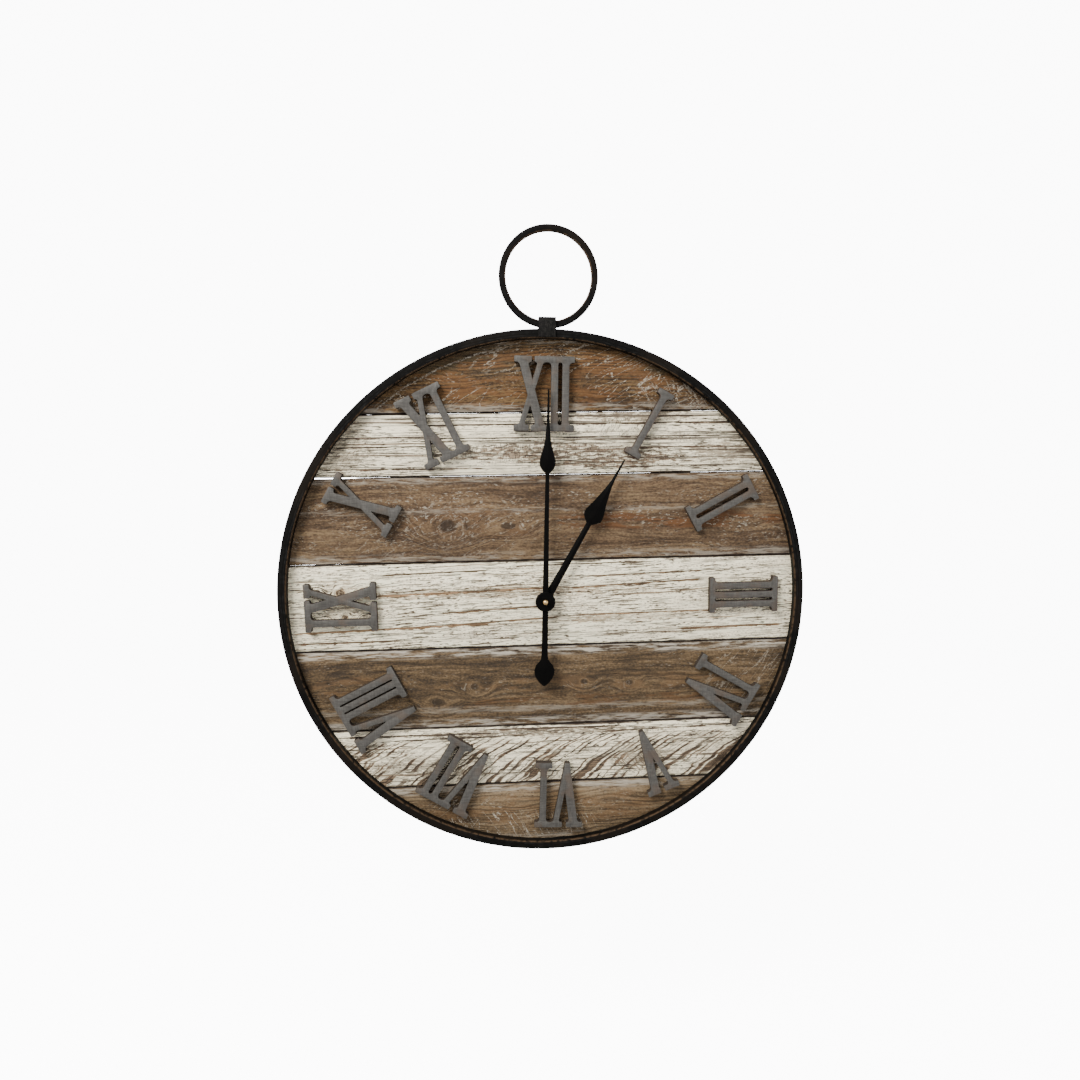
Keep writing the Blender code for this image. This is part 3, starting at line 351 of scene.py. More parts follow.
ORANGE = (0.124, 0.054, 0.017)
OLIVE = (0.057, 0.043, 0.023)
BOARD_LOOKS = {
    1: stained(1, (0.029, 0.015, 0.006), (0.097, 0.053, 0.020), (0.161, 0.097, 0.040), ring_width=3.9,
               ring_depth=0.75, flecks=0.55, fleck_cut=0.58, arc=(283.0, -40.0),
               warm=(((0.0, 248.0, 190.0, 34.0), ORANGE, 0.65),),
               grey=(((-90.0, 270.0, 90.0, 26.0), OLIVE, 0.75), ((150.0, 250.0, 60.0, 22.0), OLIVE, 0.5)),
               scratches=(((150.0, 240.0, 110.0, 42.0), 31.0, 7.0, 0.8),
                          ((20.0, 270.0, 120.0, 26.0), 25.0, 10.0, 0.55),
                          ((150.0, 226.0, 60.0, 24.0), -55.0, 8.0, 0.6),
                          ((-100.0, 226.0, 110.0, 16.0), 38.0, 7.0, 0.7)),
               washes=((215.0, 9.0, 0.55), (289.0, 6.0, 0.5))),
    2: painted(2, CREAM, (0.137, 0.087, 0.052), dash=(0.60, 0.36), groove=(9.0, 0.020, 0.9),
               worn=(((0.0, 168.0, 130.0, 13.0), 0.85), ((80.0, 160.0, 100.0, 14.0), 0.9),
                     ((-225.0, 178.0, 50.0, 36.0), 0.55), ((205.0, 165.0, 50.0, 16.0), 0.7),
                     ((100.0, 206.0, 80.0, 8.0), 0.7)),
               ticks=(((0.0, 170.0, 110.0, 20.0), 88.0, 0.8), ((90.0, 158.0, 70.0, 14.0), 90.0, 0.7),
                      ((95.0, 196.0, 50.0, 22.0), 70.0, 0.7), ((-225.0, 180.0, 50.0, 34.0), 50.0, 0.6)),
               gashes=(((-150.0, 199.0), (240.0, 198.5), 1.0, 0.8),
                       ((-160.0, 184.5), (246.0, 183.8), 0.7, 1.0),
                       ((-130.0, 181.5), (150.0, 181.2), 0.6, 0.8),
                       ((-240.0, 186.0), (-110.0, 186.5), 0.9, 0.8),
                       ((-236.0, 176.0), (-120.0, 176.0), 0.8, 0.9),
                       ((90.0, 172.0), (248.0, 171.0), 1.2, 0.5),
                       ((-30.0, 207.0), (236.0, 206.0), 0.7, 0.7),
                       ((-180.0, 206.0), (-60.0, 206.5), 0.6, 1.0),
                       ((-250.0, 152.0), (-60.0, 151.0), 1.0, 0.5),
                       ((60.0, 150.5), (250.0, 151.0), 0.8, 0.8))),
    3: stained(3, (0.040, 0.023, 0.012), (0.095, 0.057, 0.029), (0.168, 0.111, 0.058),
               ((-108.0, 88.0, 11.0, 1.35), (-40.0, 86.0, 5.5, 2.2)), ring_width=6.5, ring_depth=0.42,
               warm=(((150.0, 90.0, 170.0, 11.0), (0.111, 0.047, 0.016), 0.85),
                     ((-60.0, 92.0, 120.0, 20.0), (0.111, 0.057, 0.023), 0.4)),
               flecks=0.60, fleck_cut=0.58,
               scratches=(((-120.0, 80.0, 120.0, 44.0), 26.0, 8.0, 0.35),),
               washes=((140.0, 7.0, 0.5), (50.0, 9.0, 0.5), (104.0, 4.0, 0.35))),
    4: painted(4, tuple(c * 1.04 for c in CREAM), (0.226, 0.141, 0.075),
               ((-232.0, 14.0, 6.0, 1.2), (-228.0, -14.0, 5.0, 1.2)), tilt=2.0, dash=(0.592, 0.33),
               groove=(11.0, 0.010, 0.6),
               worn=(((-230.0, 0.0, 30.0, 34.0), 0.5), ((-60.0, 10.0, 230.0, 8.0), 0.6),
                     ((120.0, -22.0, 160.0, 7.0), 0.4), ((50.0, -24.0, 40.0, 6.0), 0.7)),
               gashes=(((-200.0, 9.0), (4.0, 14.0), 1.7, 0.2), ((-126.0, -13.0), (10.0, -6.5), 1.2, 0.5),
                       ((-290.0, -32.0), (-60.0, -26.0), 1.5, 0.3),
                       ((-120.0, -27.0), (20.0, -20.0), 1.1, 0.2),
                       ((30.0, -18.5), (210.0, -17.0), 1.1, 0.3), ((20.0, 13.0), (190.0, 20.0), 1.2, 0.4),
                       ((40.0, 26.0), (190.0, 30.0), 0.9, 0.6), ((-190.0, 33.0), (-60.0, 36.0), 0.9, 1.0),
                       ((-290.0, -44.0), (-160.0, -43.0), 1.1, 0.6),
                       ((150.0, -38.0), (285.0, -36.0), 1.3, 0.5),
                       ((-40.0, 40.0), (120.0, 42.0), 0.7, 1.0), ((60.0, -42.0), (180.0, -41.0), 0.7, 0.8))),
    5: stained(5, (0.030, 0.019, 0.010), (0.080, 0.050, 0.023), (0.157, 0.104, 0.054),
               ((-128.0, -117.0, 6.0, 1.6), (-84.0, -100.0, 6.0, 1.3), (44.0, -98.0, 4.5, 1.4),
                (98.0, -101.0, 4.5, 1.4)), ring_width=8.0, ring_depth=0.55,
               warm=(((60.0, -100.0, 210.0, 12.0), (0.131, 0.075, 0.033), 0.5),
                     ((-220.0, -95.0, 60.0, 14.0), (0.138, 0.077, 0.033), 0.5),
                     ((60.0, -120.0, 200.0, 7.0), (0.099, 0.048, 0.017), 0.6)),
               flecks=0.3, fleck_cut=0.60, scratches=(((240.0, -90.0, 60.0, 50.0), 52.0, 9.0, 0.4),),
               washes=((-58.0, 9.0, 1.0), (-145.0, 9.0, 0.85), (-128.0, 6.0, 0.35))),
    6: painted(6, CREAM, (0.133, 0.090, 0.055), dash=(0.60, 0.34),
               groove=(11.0, 0.016, 0.5), arcs=(246.0, -388.0, 5.6, -160.0),
               worn=(((110.0, -194.0, 40.0, 16.0), 0.6), ((-20.0, -158.0, 190.0, 7.0), 0.8),
                     ((190.0, -176.0, 70.0, 16.0), 0.35), ((-150.0, -196.0, 70.0, 16.0), 0.5)),
               hatch=(((110.0, -196.0, 45.0, 18.0), -45.0, 0.9), ((175.0, -185.0, 80.0, 26.0), 30.0, 0.5),
                      ((-110.0, -205.0, 60.0, 14.0), 35.0, 0.8)),
               gashes=(((-240.0, -156.5), (-60.0, -157.5), 1.0, 0.8),
                       ((-80.0, -153.0), (90.0, -154.0), 1.2, 0.6),
                       ((-190.0, -163.0), (-20.0, -161.0), 0.8, 0.9),
                       ((60.0, -160.0), (235.0, -156.0), 0.9, 0.6))),
    7: stained(7, (0.046, 0.028, 0.013), (0.118, 0.077, 0.039), (0.204, 0.144, 0.082), ring_width=4.4,
               ring_depth=0.62, flecks=0.4, fleck_cut=0.60,
               warm=(((0.0, -250.0, 170.0, 26.0), (0.120, 0.062, 0.023), 0.45),),
               scratches=(((-40.0, -272.0, 120.0, 20.0), -58.0, 6.0, 0.85),
                          ((-110.0, -252.0, 60.0, 26.0), 32.0, 9.0, 0.6)),
               washes=((-223.0, 10.0, 0.75), (-288.0, 8.0, 0.4))),
}


def pick_none():
    bpy.ops.object.select_all(action="DESELECT")


def pick(piece):
    pick_none()
    bpy.context.view_layer.objects.active = piece
    piece.select_set(True)


def edit(piece, mode="VERT"):
    pick(piece)
    bpy.ops.object.mode_set(mode="EDIT")
    bpy.ops.mesh.select_mode(type=mode)
    bpy.ops.mesh.select_all(action="SELECT")


def object_mode():
    bpy.ops.object.mode_set(mode="OBJECT")


def copy_of(node, name):
    """The node's shape as a new object, its corners merged and its flat faces joined."""
    piece = bpy.data.objects.new(name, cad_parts[node].data.copy())
    bpy.context.scene.collection.objects.link(piece)
    piece.data.materials.clear()
    edit(piece)
    bpy.ops.mesh.remove_doubles(threshold=0.00001)
    bpy.ops.mesh.dissolve_limited(angle_limit=math.radians(0.5))
    object_mode()
    return piece


def apply_all(piece):
    pick(piece)
    for modifier in list(piece.modifiers):
        bpy.ops.object.modifier_apply(modifier=modifier.name)


def ease_edges(piece, width, segments=2, angle=30.0, face_slot=-1):
    """Rounds the edges sharper than the angle; the new faces can take their own material."""
    ease = piece.modifiers.new("ease", "BEVEL")
    ease.width = width * MM
    ease.segments = segments
    ease.limit_method = "ANGLE"
    ease.angle_limit = math.radians(angle)
    ease.material = face_slot
    apply_all(piece)


def smooth(piece, angle=35.0):
    pick(piece)
    bpy.ops.object.shade_smooth_by_angle(angle=math.radians(angle))


def waver(piece, size, amount, axis):
    """Moves the surface a little along one axis, in slow waves of the given size."""
    wave = bpy.data.textures.new("waver", "CLOUDS")
    wave.noise_scale = size * MM
    ripple = piece.modifiers.new("ripple", "DISPLACE")
    ripple.texture = wave
    ripple.texture_coords = "GLOBAL"
    ripple.direction = axis
    ripple.strength = amount * MM


def pick_where(piece, test, mode="VERT"):
    """Selects the vertices or faces whose centre and normal, in mm, pass the test."""
    object_mode()
    items = piece.data.vertices if mode == "VERT" else piece.data.polygons
    chosen = []
    for item in items:
        centre = item.co if mode == "VERT" else item.center
        chosen.append(test(centre / MM, item.normal))
    edit(piece, mode)
    bpy.ops.mesh.select_all(action="DESELECT")
    object_mode()
    for item, hit in zip(items, chosen):
        item.select = hit
    bpy.ops.object.mode_set(mode="EDIT")


ACROSS = Vector((-math.sin(DIAL_TILT), 0, math.cos(DIAL_TILT)))
SLICE = 4.0
OPEN_END = -214.0
CLOSED_UP = 0.62
for number in range(1, 8):
    node = f"plank_{number}"
    board = copy_of(node, f"board_{number}")
    low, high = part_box(node)
    edit(board)
    where = low.x / MM + SLICE
    while where < high.x / MM - 1.0:
        bpy.ops.mesh.select_all(action="SELECT")
        bpy.ops.mesh.bisect(plane_co=(where * MM, 0, 0), plane_no=(1, 0, 0))
        where += SLICE
    for side in (1, -1):
        edge = SEAMS[number - (side + 1) // 2]
        if abs(edge) < SEAMS[0]:
            pick_where(board, lambda co, n, e=edge: abs(co.dot(ACROSS) - e) < 2.0 and co.y > BOARD_BACK - 0.3
                       and co.x > OPEN_END)
            bpy.ops.transform.translate(value=ACROSS * side * CLOSED_UP * MM)
    object_mode()
    waver(board, 26.0, 0.7, "Z")
    waver(board, 7.0, 0.5, "Z")
    ease_edges(board, 0.7, 2, 50.0)
    board.data.materials.append(BOARD_LOOKS[number])
    smooth(board, 50.0)
    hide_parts(node)
    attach(board, "clock")

# ---------------------------------------------------------------- battens
# Two planed pine battens screwed across the back of the boards; the clock stands off
# the wall on them.  Their arrises are eased with a plane.


def bare_pine():
    look, shader = new_look("bare_pine", specular=0.35)
    x, y, z = place(DIAL_TILT)
    ring = x + (cloud(z / 160, 0.0, x / 30, 2.0) - 0.5) * 9.0
    rings = ((ring / 3.4 + y * 0.31) * 6.283).math("SINE") * 0.5 + 0.5
    fibre = cloud(z / 24, y / 1.4, x / 1.2, 3.0, 0.6)
    base = (rings * 0.45 + fibre * 0.7 - 0.05).ramp((0.15, (0.26, 0.15, 0.07)), (0.5, (0.46, 0.30, 0.155)),
                                                    (0.85, (0.62, 0.44, 0.25)))
    handled = cloud(x / 40, 0.0, z / 60, 3.0).step(0.50, 0.70)
    base = (handled * 0.35).tint(base, (0.20, 0.14, 0.085))
    feed(shader, Base_Color=base, Roughness=0.72 + fibre * 0.12, Normal=bump(fibre + rings * 0.3, 0.25))
    return look


PINE = bare_pine()
for node, name in (("batten_left", "left_batten"), ("batten_right", "right_batten")):
    batten = copy_of(node, name)
    ease_edges(batten, 0.5, 2, 30.0)
    batten.data.materials.append(PINE)
    smooth(batten)
    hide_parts(node)
    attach(batten, "clock")

# ---------------------------------------------------------------- numerals
# Twelve sawn composition-board numerals, 8 mm thick, glued to the boards.  The faces are
# brushed grey over brown, the arrises are rubbed to bronze and the sawn sides are dark.


def grey_face():
    look, shader = new_look("numeral_grey", metallic=0.15)
    x, y, z = place()
    brushed = cloud(x / 9, y / 2, z / 1.3, 3.0, 0.6)
    cross = cloud(x / 1.3, y / 2, z / 9, 3.0, 0.6)
    patch = cloud(x / 24, 0.0, z / 24, 3.0).step(0.50, 0.66)
    base = (0.5 + (brushed - 0.5) * 0.8 + (cross - 0.5) * 0.7).ramp(
        (0.2, (0.028, 0.025, 0.021)), (0.5, (0.054, 0.049, 0.042)), (0.85, (0.092, 0.086, 0.076)))
    base = (patch * 0.55).tint(base, (0.072, 0.047, 0.029))
    feed(shader, Base_Color=base, Roughness=0.50 + brushed * 0.18, Normal=bump(brushed + cross, 0.18))
    return look


def bronze_arris():
    look, shader = new_look("numeral_arris", metallic=0.25)
    x, y, z = place()
    rub = cloud(x / 7, y / 7, z / 7, 3.0)
    base = rub.ramp((0.35, (0.019, 0.013, 0.009)), (0.55, (0.055, 0.033, 0.020)),
                    (0.72, (0.115, 0.079, 0.057)))
    feed(shader, Base_Color=base, Roughness=0.45 + rub * 0.15, Normal=bump(rub, 0.1))
    return look


def sawn_side():
    look, shader = new_look("numeral_side", specular=0.25)
    x, y, z = place()
    fuzz = cloud(x / 1.1, y / 2.5, z / 1.1, 3.0, 0.6)
    base = fuzz.ramp((0.3, (0.011, 0.008, 0.006)), (0.7, (0.044, 0.030, 0.020)))
    feed(shader, Base_Color=base, Roughness=0.85 + fuzz * 0.1, Normal=bump(fuzz, 0.3))
    return look


NUMERAL_LOOKS = (grey_face(), bronze_arris(), sawn_side())
for mark in ("XII", "I", "II", "III", "IV", "V", "VI", "VII", "VIII", "IX", "X", "XI"):
    node = f"numeral_{mark}"
    numeral = copy_of(node, f"hour_{mark}")
    for look in NUMERAL_LOOKS:
        numeral.data.materials.append(look)
    for face in numeral.data.polygons:
        face.material_index = 0 if face.normal.y < -0.5 else 2
    ease_edges(numeral, 0.55, 2, 60.0, 1)
    smooth(numeral, 30.0)
    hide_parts(node)
    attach(numeral, "clock")

# ---------------------------------------------------------------- hoop
# The iron hoop is rolled from channel: a deep outer leg, a rounded face and a short lip
# down to the boards.  It is blackened and brushed round, and its inner arris is rubbed
# through to bronze.

HOOP_OUT, HOOP_IN, HOOP_FRONT, HOOP_BACK, HOOP_WALL = 300.0, 290.0, 44.3, 9.0, 2.4
HOOP_STEPS = 216


def chain(name, points):
    """A line drawn point by point in the plane X = radius, Y = -depth, ready to be spun."""
    pick_none()
    r, depth = points[0]
    bpy.ops.mesh.primitive_plane_add(size=0.001, location=(r * MM, -depth * MM, 0))
    piece = bpy.context.object
    piece.name = name
    bpy.ops.object.transform_apply(location=True, rotation=True, scale=True)
    edit(piece)
    bpy.ops.mesh.merge(type="CENTER")
    for (r0, d0), (r1, d1) in zip(points, points[1:]):
        bpy.ops.mesh.extrude_region_move(TRANSFORM_OT_translate={
            "value": ((r1 - r0) * MM, (d0 - d1) * MM, 0)})
    object_mode()
    return piece


def spin_round(piece, steps, centre=(0, 0, 0), axis=(0, 1, 0)):
    edit(piece)
    bpy.ops.mesh.spin(steps=steps, angle=math.tau, center=centre, axis=axis)
    bpy.ops.mesh.select_all(action="SELECT")
    bpy.ops.mesh.remove_doubles(threshold=0.00001)
    bpy.ops.mesh.normals_make_consistent(inside=False)
    object_mode()


def rounded(corners, radius, steps=3):
    """The corner points of a closed outline, each corner turned into a short arc."""
    points = []
    for i, corner in enumerate(corners):
        here = Vector(corner)
        before, after = Vector(corners[i - 1]), Vector(corners[(i + 1) % len(corners)])
        start = here + (before - here).normalized() * min(radius, (before - here).length * 0.45)
        end = here + (after - here).normalized() * min(radius, (after - here).length * 0.45)
        for k in range(steps + 1):
            t = k / steps
            points.append(tuple(start.lerp(here, t).lerp(here.lerp(end, t), t)))
    points.append(points[0])
    return points


def iron(name, centre_z, arris, front, bronze=0.8, ground=(0.0020, 0.0016, 0.0012)):
    """Blackened iron brushed round a centre, its front arris at one radius rubbed to bronze."""
    look, shader = new_look(name, specular=0.08)
    x, y, z = place()
    dz = z - centre_z
    away = (x * x + dz * dz).math("SQRT")
    drift = cloud(x / 45, y / 45, z / 45, 3.0)
    brushed = cloud(away / 1.1 + drift * 3.0, y / 1.1, drift * 9.0, 2.0)
    mottle = cloud(x / 5, y / 5, z / 5, 3.0, 0.6)
    base = (0.5 + (brushed - 0.5) * 1.2 + (mottle - 0.5) * 0.8).ramp(
        (0.25, tuple(c * 0.5 for c in ground)), (0.55, ground), (0.85, (0.0085, 0.0084, 0.0082)))
    brown = cloud(x / 60, y / 20, z / 60, 2.0).step(0.46, 0.62)
    base = (brown * 0.45).tint(base, (0.0105, 0.0069, 0.0042))
    edge = abs(away - arris).step(1.1, 0.35) * y.step(3.5 - front, 1.5 - front) * mottle.step(0.34, 0.56)
    base = (edge * bronze).tint(base, (0.070, 0.043, 0.024))
    rubbed = edge * bronze
    feed(shader, Base_Color=base, Roughness=0.55 + brushed * 0.2 - rubbed * 0.1,
         Metallic=rubbed * 0.4, Normal=bump(brushed * 0.7 + mottle, 0.22))
    return look


HOOP_LIP = 32.7
hoop = chain("iron_hoop", rounded((
    (HOOP_OUT, HOOP_FRONT), (HOOP_OUT, HOOP_BACK), (HOOP_OUT - HOOP_WALL, HOOP_BACK),
    (HOOP_OUT - HOOP_WALL, HOOP_FRONT - HOOP_WALL), (HOOP_IN + HOOP_WALL, HOOP_FRONT - HOOP_WALL),
    (HOOP_IN + HOOP_WALL, HOOP_LIP), (HOOP_IN, HOOP_LIP), (HOOP_IN, HOOP_FRONT)), 1.9, 4))
spin_round(hoop, HOOP_STEPS)
waver(hoop, 16.0, 0.35, "NORMAL")
apply_all(hoop)
hoop.data.materials.append(iron("hoop_iron", 0.0, HOOP_IN + 0.5, HOOP_FRONT))
smooth(hoop, 50.0)
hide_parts("hoop")
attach(hoop, "clock")

# ---------------------------------------------------------------- hanging ring, clip and screws
# A ring of square iron bar with eased corners is held down on the hoop by a bent strap,
# like the bow of a pocket watch.  The strap and the hoop are fixed by round-head screws.

RING_Z, RING_R, RING_HALF, RING_BACK, RING_FRONT = 354.3, 50.0, 3.7, 36.3, 42.3
ring = chain("bow_ring", rounded((
    (RING_R + RING_HALF, RING_FRONT), (RING_R + RING_HALF, RING_BACK),
    (RING_R - RING_HALF, RING_BACK), (RING_R - RING_HALF, RING_FRONT)), 1.7, 4))
spin_round(ring, 128)
edit(ring)
bpy.ops.transform.translate(value=(0, 0, RING_Z * MM))
object_mode()
waver(ring, 9.0, 0.25, "NORMAL")
apply_all(ring)
ring.data.materials.append(iron("ring_iron", RING_Z, RING_R - RING_HALF + 0.4, RING_FRONT, 0.9))
smooth(ring, 50.0)
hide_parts("hanging_ring")
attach(ring, "clock")


def forged(name):
    """Small iron parts: dark scale with lighter rubbed high spots."""
    look, shader = new_look(name, specular=0.09)
    x, y, z = place()
    scale = cloud(x / 3.2, y / 3.2, z / 3.2, 3.0, 0.6)
    strokes = cloud(x / 1.2, y / 2.0, z / 7.0, 2.0)
    base = (scale * 0.6 + strokes * 0.45).ramp(
        (0.32, (0.0020, 0.0017, 0.0014)), (0.52, (0.0054, 0.0048, 0.0042)), (0.75, (0.019, 0.017, 0.0145)))
    feed(shader, Base_Color=base, Roughness=0.48 + scale * 0.2, Normal=bump(scale + strokes * 0.4, 0.3))
    return look


FORGED = forged("clip_iron")
clip = copy_of("ring_clip", "bow_strap")
ease_edges(clip, 0.5, 3, 30.0)
clip.data.materials.append(FORGED)
smooth(clip)
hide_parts("ring_clip")
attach(clip, "clock")

for node in ("clip_screw", "hoop_screw_1", "hoop_screw_2", "hoop_screw_3", "hoop_screw_4"):
    screw = copy_of(node, node.replace("_screw", "_round_head"))
    screw.data.materials.append(FORGED)
    smooth(screw, 40.0)
    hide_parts(node)
    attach(screw, "clock")

# ---------------------------------------------------------------- hands
# Two pressed steel spade hands, satin black.  Each blade is creased along its middle, so
# its two halves catch the light unequally; the minute hand's round boss stays flat.


def satin_black():
    look, shader = new_look("hand_black", specular=0.05)
    x, y, z = place()
    skin = cloud(x / 1.6, y / 1.6, z / 1.6, 3.0, 0.6)
    haze = cloud(x / 14, y / 14, z / 14, 2.0)
    base = (skin * 0.5 + haze * 0.5).ramp((0.35, (0.0006, 0.0005, 0.0004)), (0.65, (0.0018, 0.0015, 0.0012)))
    feed(shader, Base_Color=base, Roughness=0.40 + skin * 0.2, Normal=bump(skin, 0.10))
    return look


SATIN = satin_black()


def creased(node, name, degrees, face, reaches):
    """A copy of a hand with a raised crease along its middle, on each of its straight reaches."""
    hand = copy_of(node, name)
    turn = math.radians(degrees)
    along = Vector((math.sin(turn), 0, math.cos(turn)))
    aside = Vector((math.cos(turn), 0, -math.sin(turn)))
    edit(hand)
    bpy.ops.mesh.bisect(plane_co=(0, 0, 0), plane_no=aside)
    for first, last in reaches:
        step = 4.0 if last > first else -4.0
        where = first
        while abs(where) <= abs(last):
            bpy.ops.mesh.select_all(action="SELECT")
            bpy.ops.mesh.bisect(plane_co=along * where * MM, plane_no=along)
            where += step
    object_mode()
    rows = {}
    for vertex in hand.data.vertices:
        if abs(-vertex.co.y / MM - face) < 0.05:
            row = round(vertex.co.dot(along) / MM, 1)
            rows[row] = max(rows.get(row, 0.0), abs(vertex.co.dot(aside) / MM))
    for first, last in reaches:
        for row, half in rows.items():
            if min(first, last) - 0.1 <= row <= max(first, last) + 0.1 and half > 0.3:
                pick_where(hand, lambda co, n, r=row: abs(co.dot(along) - r) < 0.1
                           and abs(co.dot(aside)) < 0.02 and abs(-co.y - face) < 0.05)
                lift = min(0.34 * half, 0.95) * min(1.0, abs(row - first) / 6.0 + 0.15)
                bpy.ops.transform.translate(value=(0, -lift * MM, 0))
                object_mode()
    ease_edges(hand, 0.18, 2, 50.0)
    hand.data.materials.append(SATIN)
    smooth(hand, 12.0)
    return hand


hour = creased("hour_hand", "hour_spade", 28.5, 43.1, ((14.0, 178.0),))
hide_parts("hour_hand")
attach(hour, "hour")
minute = creased("minute_hand", "minute_spade", 0.3, 46.3, ((14.0, 230.0), (-14.0, -94.0)))
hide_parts("minute_hand")
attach(minute, "minute")

# ---------------------------------------------------------------- brass, zinc and steel
# The cap nut, the threaded bush, the front nut and the meshing arbor are turned brass; washer and
# contacts are bright zinc-plated steel.  All are left as turned.


def turned_metal(name, dark, bright, rough):
    look, shader = new_look(name, metallic=1.0)
    x, y, z = place()
    lines = cloud(x / 6, y / 0.35, z / 6, 2.0)
    stain = cloud(x / 5, y / 5, z / 5, 3.0, 0.6)
    base = (lines * 0.5 + stain * 0.6).ramp((0.38, dark), (0.68, bright))
    feed(shader, Base_Color=base, Roughness=rough + stain * 0.2, Normal=bump(lines, 0.06))
    return look


BRASS = turned_metal("turned_brass", (0.42, 0.25, 0.09), (0.80, 0.56, 0.27), 0.18)
ZINC = turned_metal("zinc_plate", (0.34, 0.35, 0.36), (0.66, 0.67, 0.68), 0.22)


def keep(look, *nodes):
    """Gives CAD pieces that stay as they are their finish."""
    for node in nodes:
        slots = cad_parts[node].data.materials
        if not slots:
            slots.append(look)
        for i in range(len(slots)):
            slots[i] = look


cap = copy_of("cap_nut", "brass_cap")
ease_edges(cap, 0.12, 2, 40.0)
cap.data.materials.append(BRASS)
smooth(cap, 40.0)
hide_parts("cap_nut")
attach(cap, "minute")
keep(BRASS, "centre_bush", "minute_arbor", "front_nut")
keep(ZINC, "front_washer", "contact_plus", "contact_minus", "stator", "coil_core", "quartz_crystal")

# ---------------------------------------------------------------- movement
# A quartz movement in a black moulded case behind the middle board.  The white acetal
# wheels run between the case and a bridge; the cell lies in a trough under the cover.


def moulded(name, dark, light, rough):
    look, shader = new_look(name, specular=0.45)
    x, y, z = place()
    spark = cloud(x / 0.8, y / 0.8, z / 0.8, 2.0)
    flow = cloud(x / 18, y / 18, z / 18, 2.0)
    base = (spark * 0.5 + flow * 0.5).ramp((0.35, dark), (0.65, light))
    feed(shader, Base_Color=base, Roughness=rough + spark * 0.15, Normal=bump(spark, 0.12))
    return look


BLACK_PLASTIC = moulded("black_moulding", (0.011, 0.011, 0.012), (0.022, 0.022, 0.023), 0.38)
ACETAL = moulded("white_acetal", (0.62, 0.61, 0.57), (0.76, 0.75, 0.71), 0.30)
for node, name in (("movement_case", "case_moulding"), ("movement_cover", "cover_moulding"),
                   ("setting_knob", "hand_setting_knob")):
    shell = copy_of(node, name)
    ease_edges(shell, 0.25, 2, 50.0)
    shell.data.materials.append(BLACK_PLASTIC)
    smooth(shell, 40.0)
    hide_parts(node)
    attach(shell, "knob" if node == "setting_knob" else "clock")
keep(ACETAL, "hour_wheel", "reverser_wheel", "centre_wheel", "third_wheel", "fourth_wheel",
     "intermediate_wheel", "rotor")
keep(BLACK_PLASTIC, "train_bridge")


def wound_wire():
    look, shader = new_look("coil_wire", metallic=0.7)
    x, y, z = place()
    turns = ((z / 0.45) * 6.283).math("SINE") * 0.5 + 0.5
    rub = cloud(x / 2, y / 2, z / 2, 2.0)
    base = (turns * 0.7 + rub * 0.4).ramp((0.2, (0.10, 0.030, 0.012)), (0.8, (0.55, 0.21, 0.085)))
    feed(shader, Base_Color=base, Roughness=0.28 + rub * 0.2, Normal=bump(turns, 0.15))
    return look


def solder_mask():
    look, shader = new_look("board_lacquer")
    x, y, z = place()
    track = abs(cloud(x / 3.5, 0.0, z / 3.5, 1.0) - 0.5).step(0.05, 0.03)
    base = track.tint((0.012, 0.085, 0.035), (0.030, 0.180, 0.075))
    feed(shader, Base_Color=base, Roughness=0.32 + track * 0.08, Normal=bump(track, 0.04))
    return look


def cell_sleeve():
    look, shader = new_look("cell_sleeve", metallic=0.6)
    x, y, z = place()
    end = abs(x + 0.5).step(22.6, 22.9)
    band = x.step(10.0, 10.3)
    scuff = cloud(x / 6, y / 1.5, z / 1.5, 3.0, 0.6)
    base = band.tint((0.028, 0.045, 0.075), (0.42, 0.25, 0.095))
    base = end.tint(base, (0.60, 0.60, 0.60))
    base = (scuff.step(0.62, 0.72) * 0.5).tint(base, (0.45, 0.45, 0.45))
    feed(shader, Base_Color=base, Roughness=0.30 + scuff * 0.15, Normal=bump(scuff, 0.05))
    return look


keep(wound_wire(), "coil")
keep(solder_mask(), "circuit_board")
cell = copy_of("battery", "dry_cell")
ease_edges(cell, 0.25, 2, 50.0)
cell.data.materials.append(cell_sleeve())
smooth(cell, 40.0)
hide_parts("battery")
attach(cell, "cell")

# ---------------------------------------------------------------- batten screws
# Seven countersunk cross-head screws hold each batten, one to a board, their heads drawn
# just flush with the batten's back.

SCREW_Z = (224.0, 178.0, 95.0, -3.0, -101.0, -184.0, -228.0)
SCREW_X = (-150.0, 150.0)


def flat_head():
    """A countersunk head with a cross-shaped recess, at the axis, facing back."""
    pick_none()
    bpy.ops.mesh.primitive_circle_add(vertices=32, radius=4.0 * MM, fill_type="NGON", location=(0, 0, 0),
                                      rotation=(math.radians(-90), 0, 0))
    head = bpy.context.object
    bpy.ops.object.transform_apply(location=True, rotation=True, scale=True)
    edit(head)
    bpy.ops.mesh.extrude_region_move(TRANSFORM_OT_translate={"value": (0, -0.5 * MM, 0)})
    bpy.ops.transform.resize(value=(0.9, 1.0, 0.9), center_override=(0, 0, 0))
    bpy.ops.mesh.select_all(action="SELECT")
    bpy.ops.mesh.normals_make_consistent(inside=False)
    object_mode()
    pick_none()
    bpy.ops.mesh.primitive_cube_add(size=1.0, location=(0, 0, 0))
    cross = bpy.context.object
    cross.scale = (3.6 * MM, 1.2 * MM, 0.85 * MM)
    bpy.ops.object.transform_apply(location=True, rotation=True, scale=True)
    edit(cross)
    bpy.ops.mesh.duplicate()
    bpy.ops.transform.rotate(value=math.radians(90), orient_axis="Y", center_override=(0, 0, 0))
    object_mode()
    recess = head.modifiers.new("recess", "BOOLEAN")
    recess.operation = "DIFFERENCE"
    recess.object = cross
    recess.use_self = True
    apply_all(head)
    bpy.data.objects.remove(cross)
    ease_edges(head, 0.12, 2, 40.0)
    return head


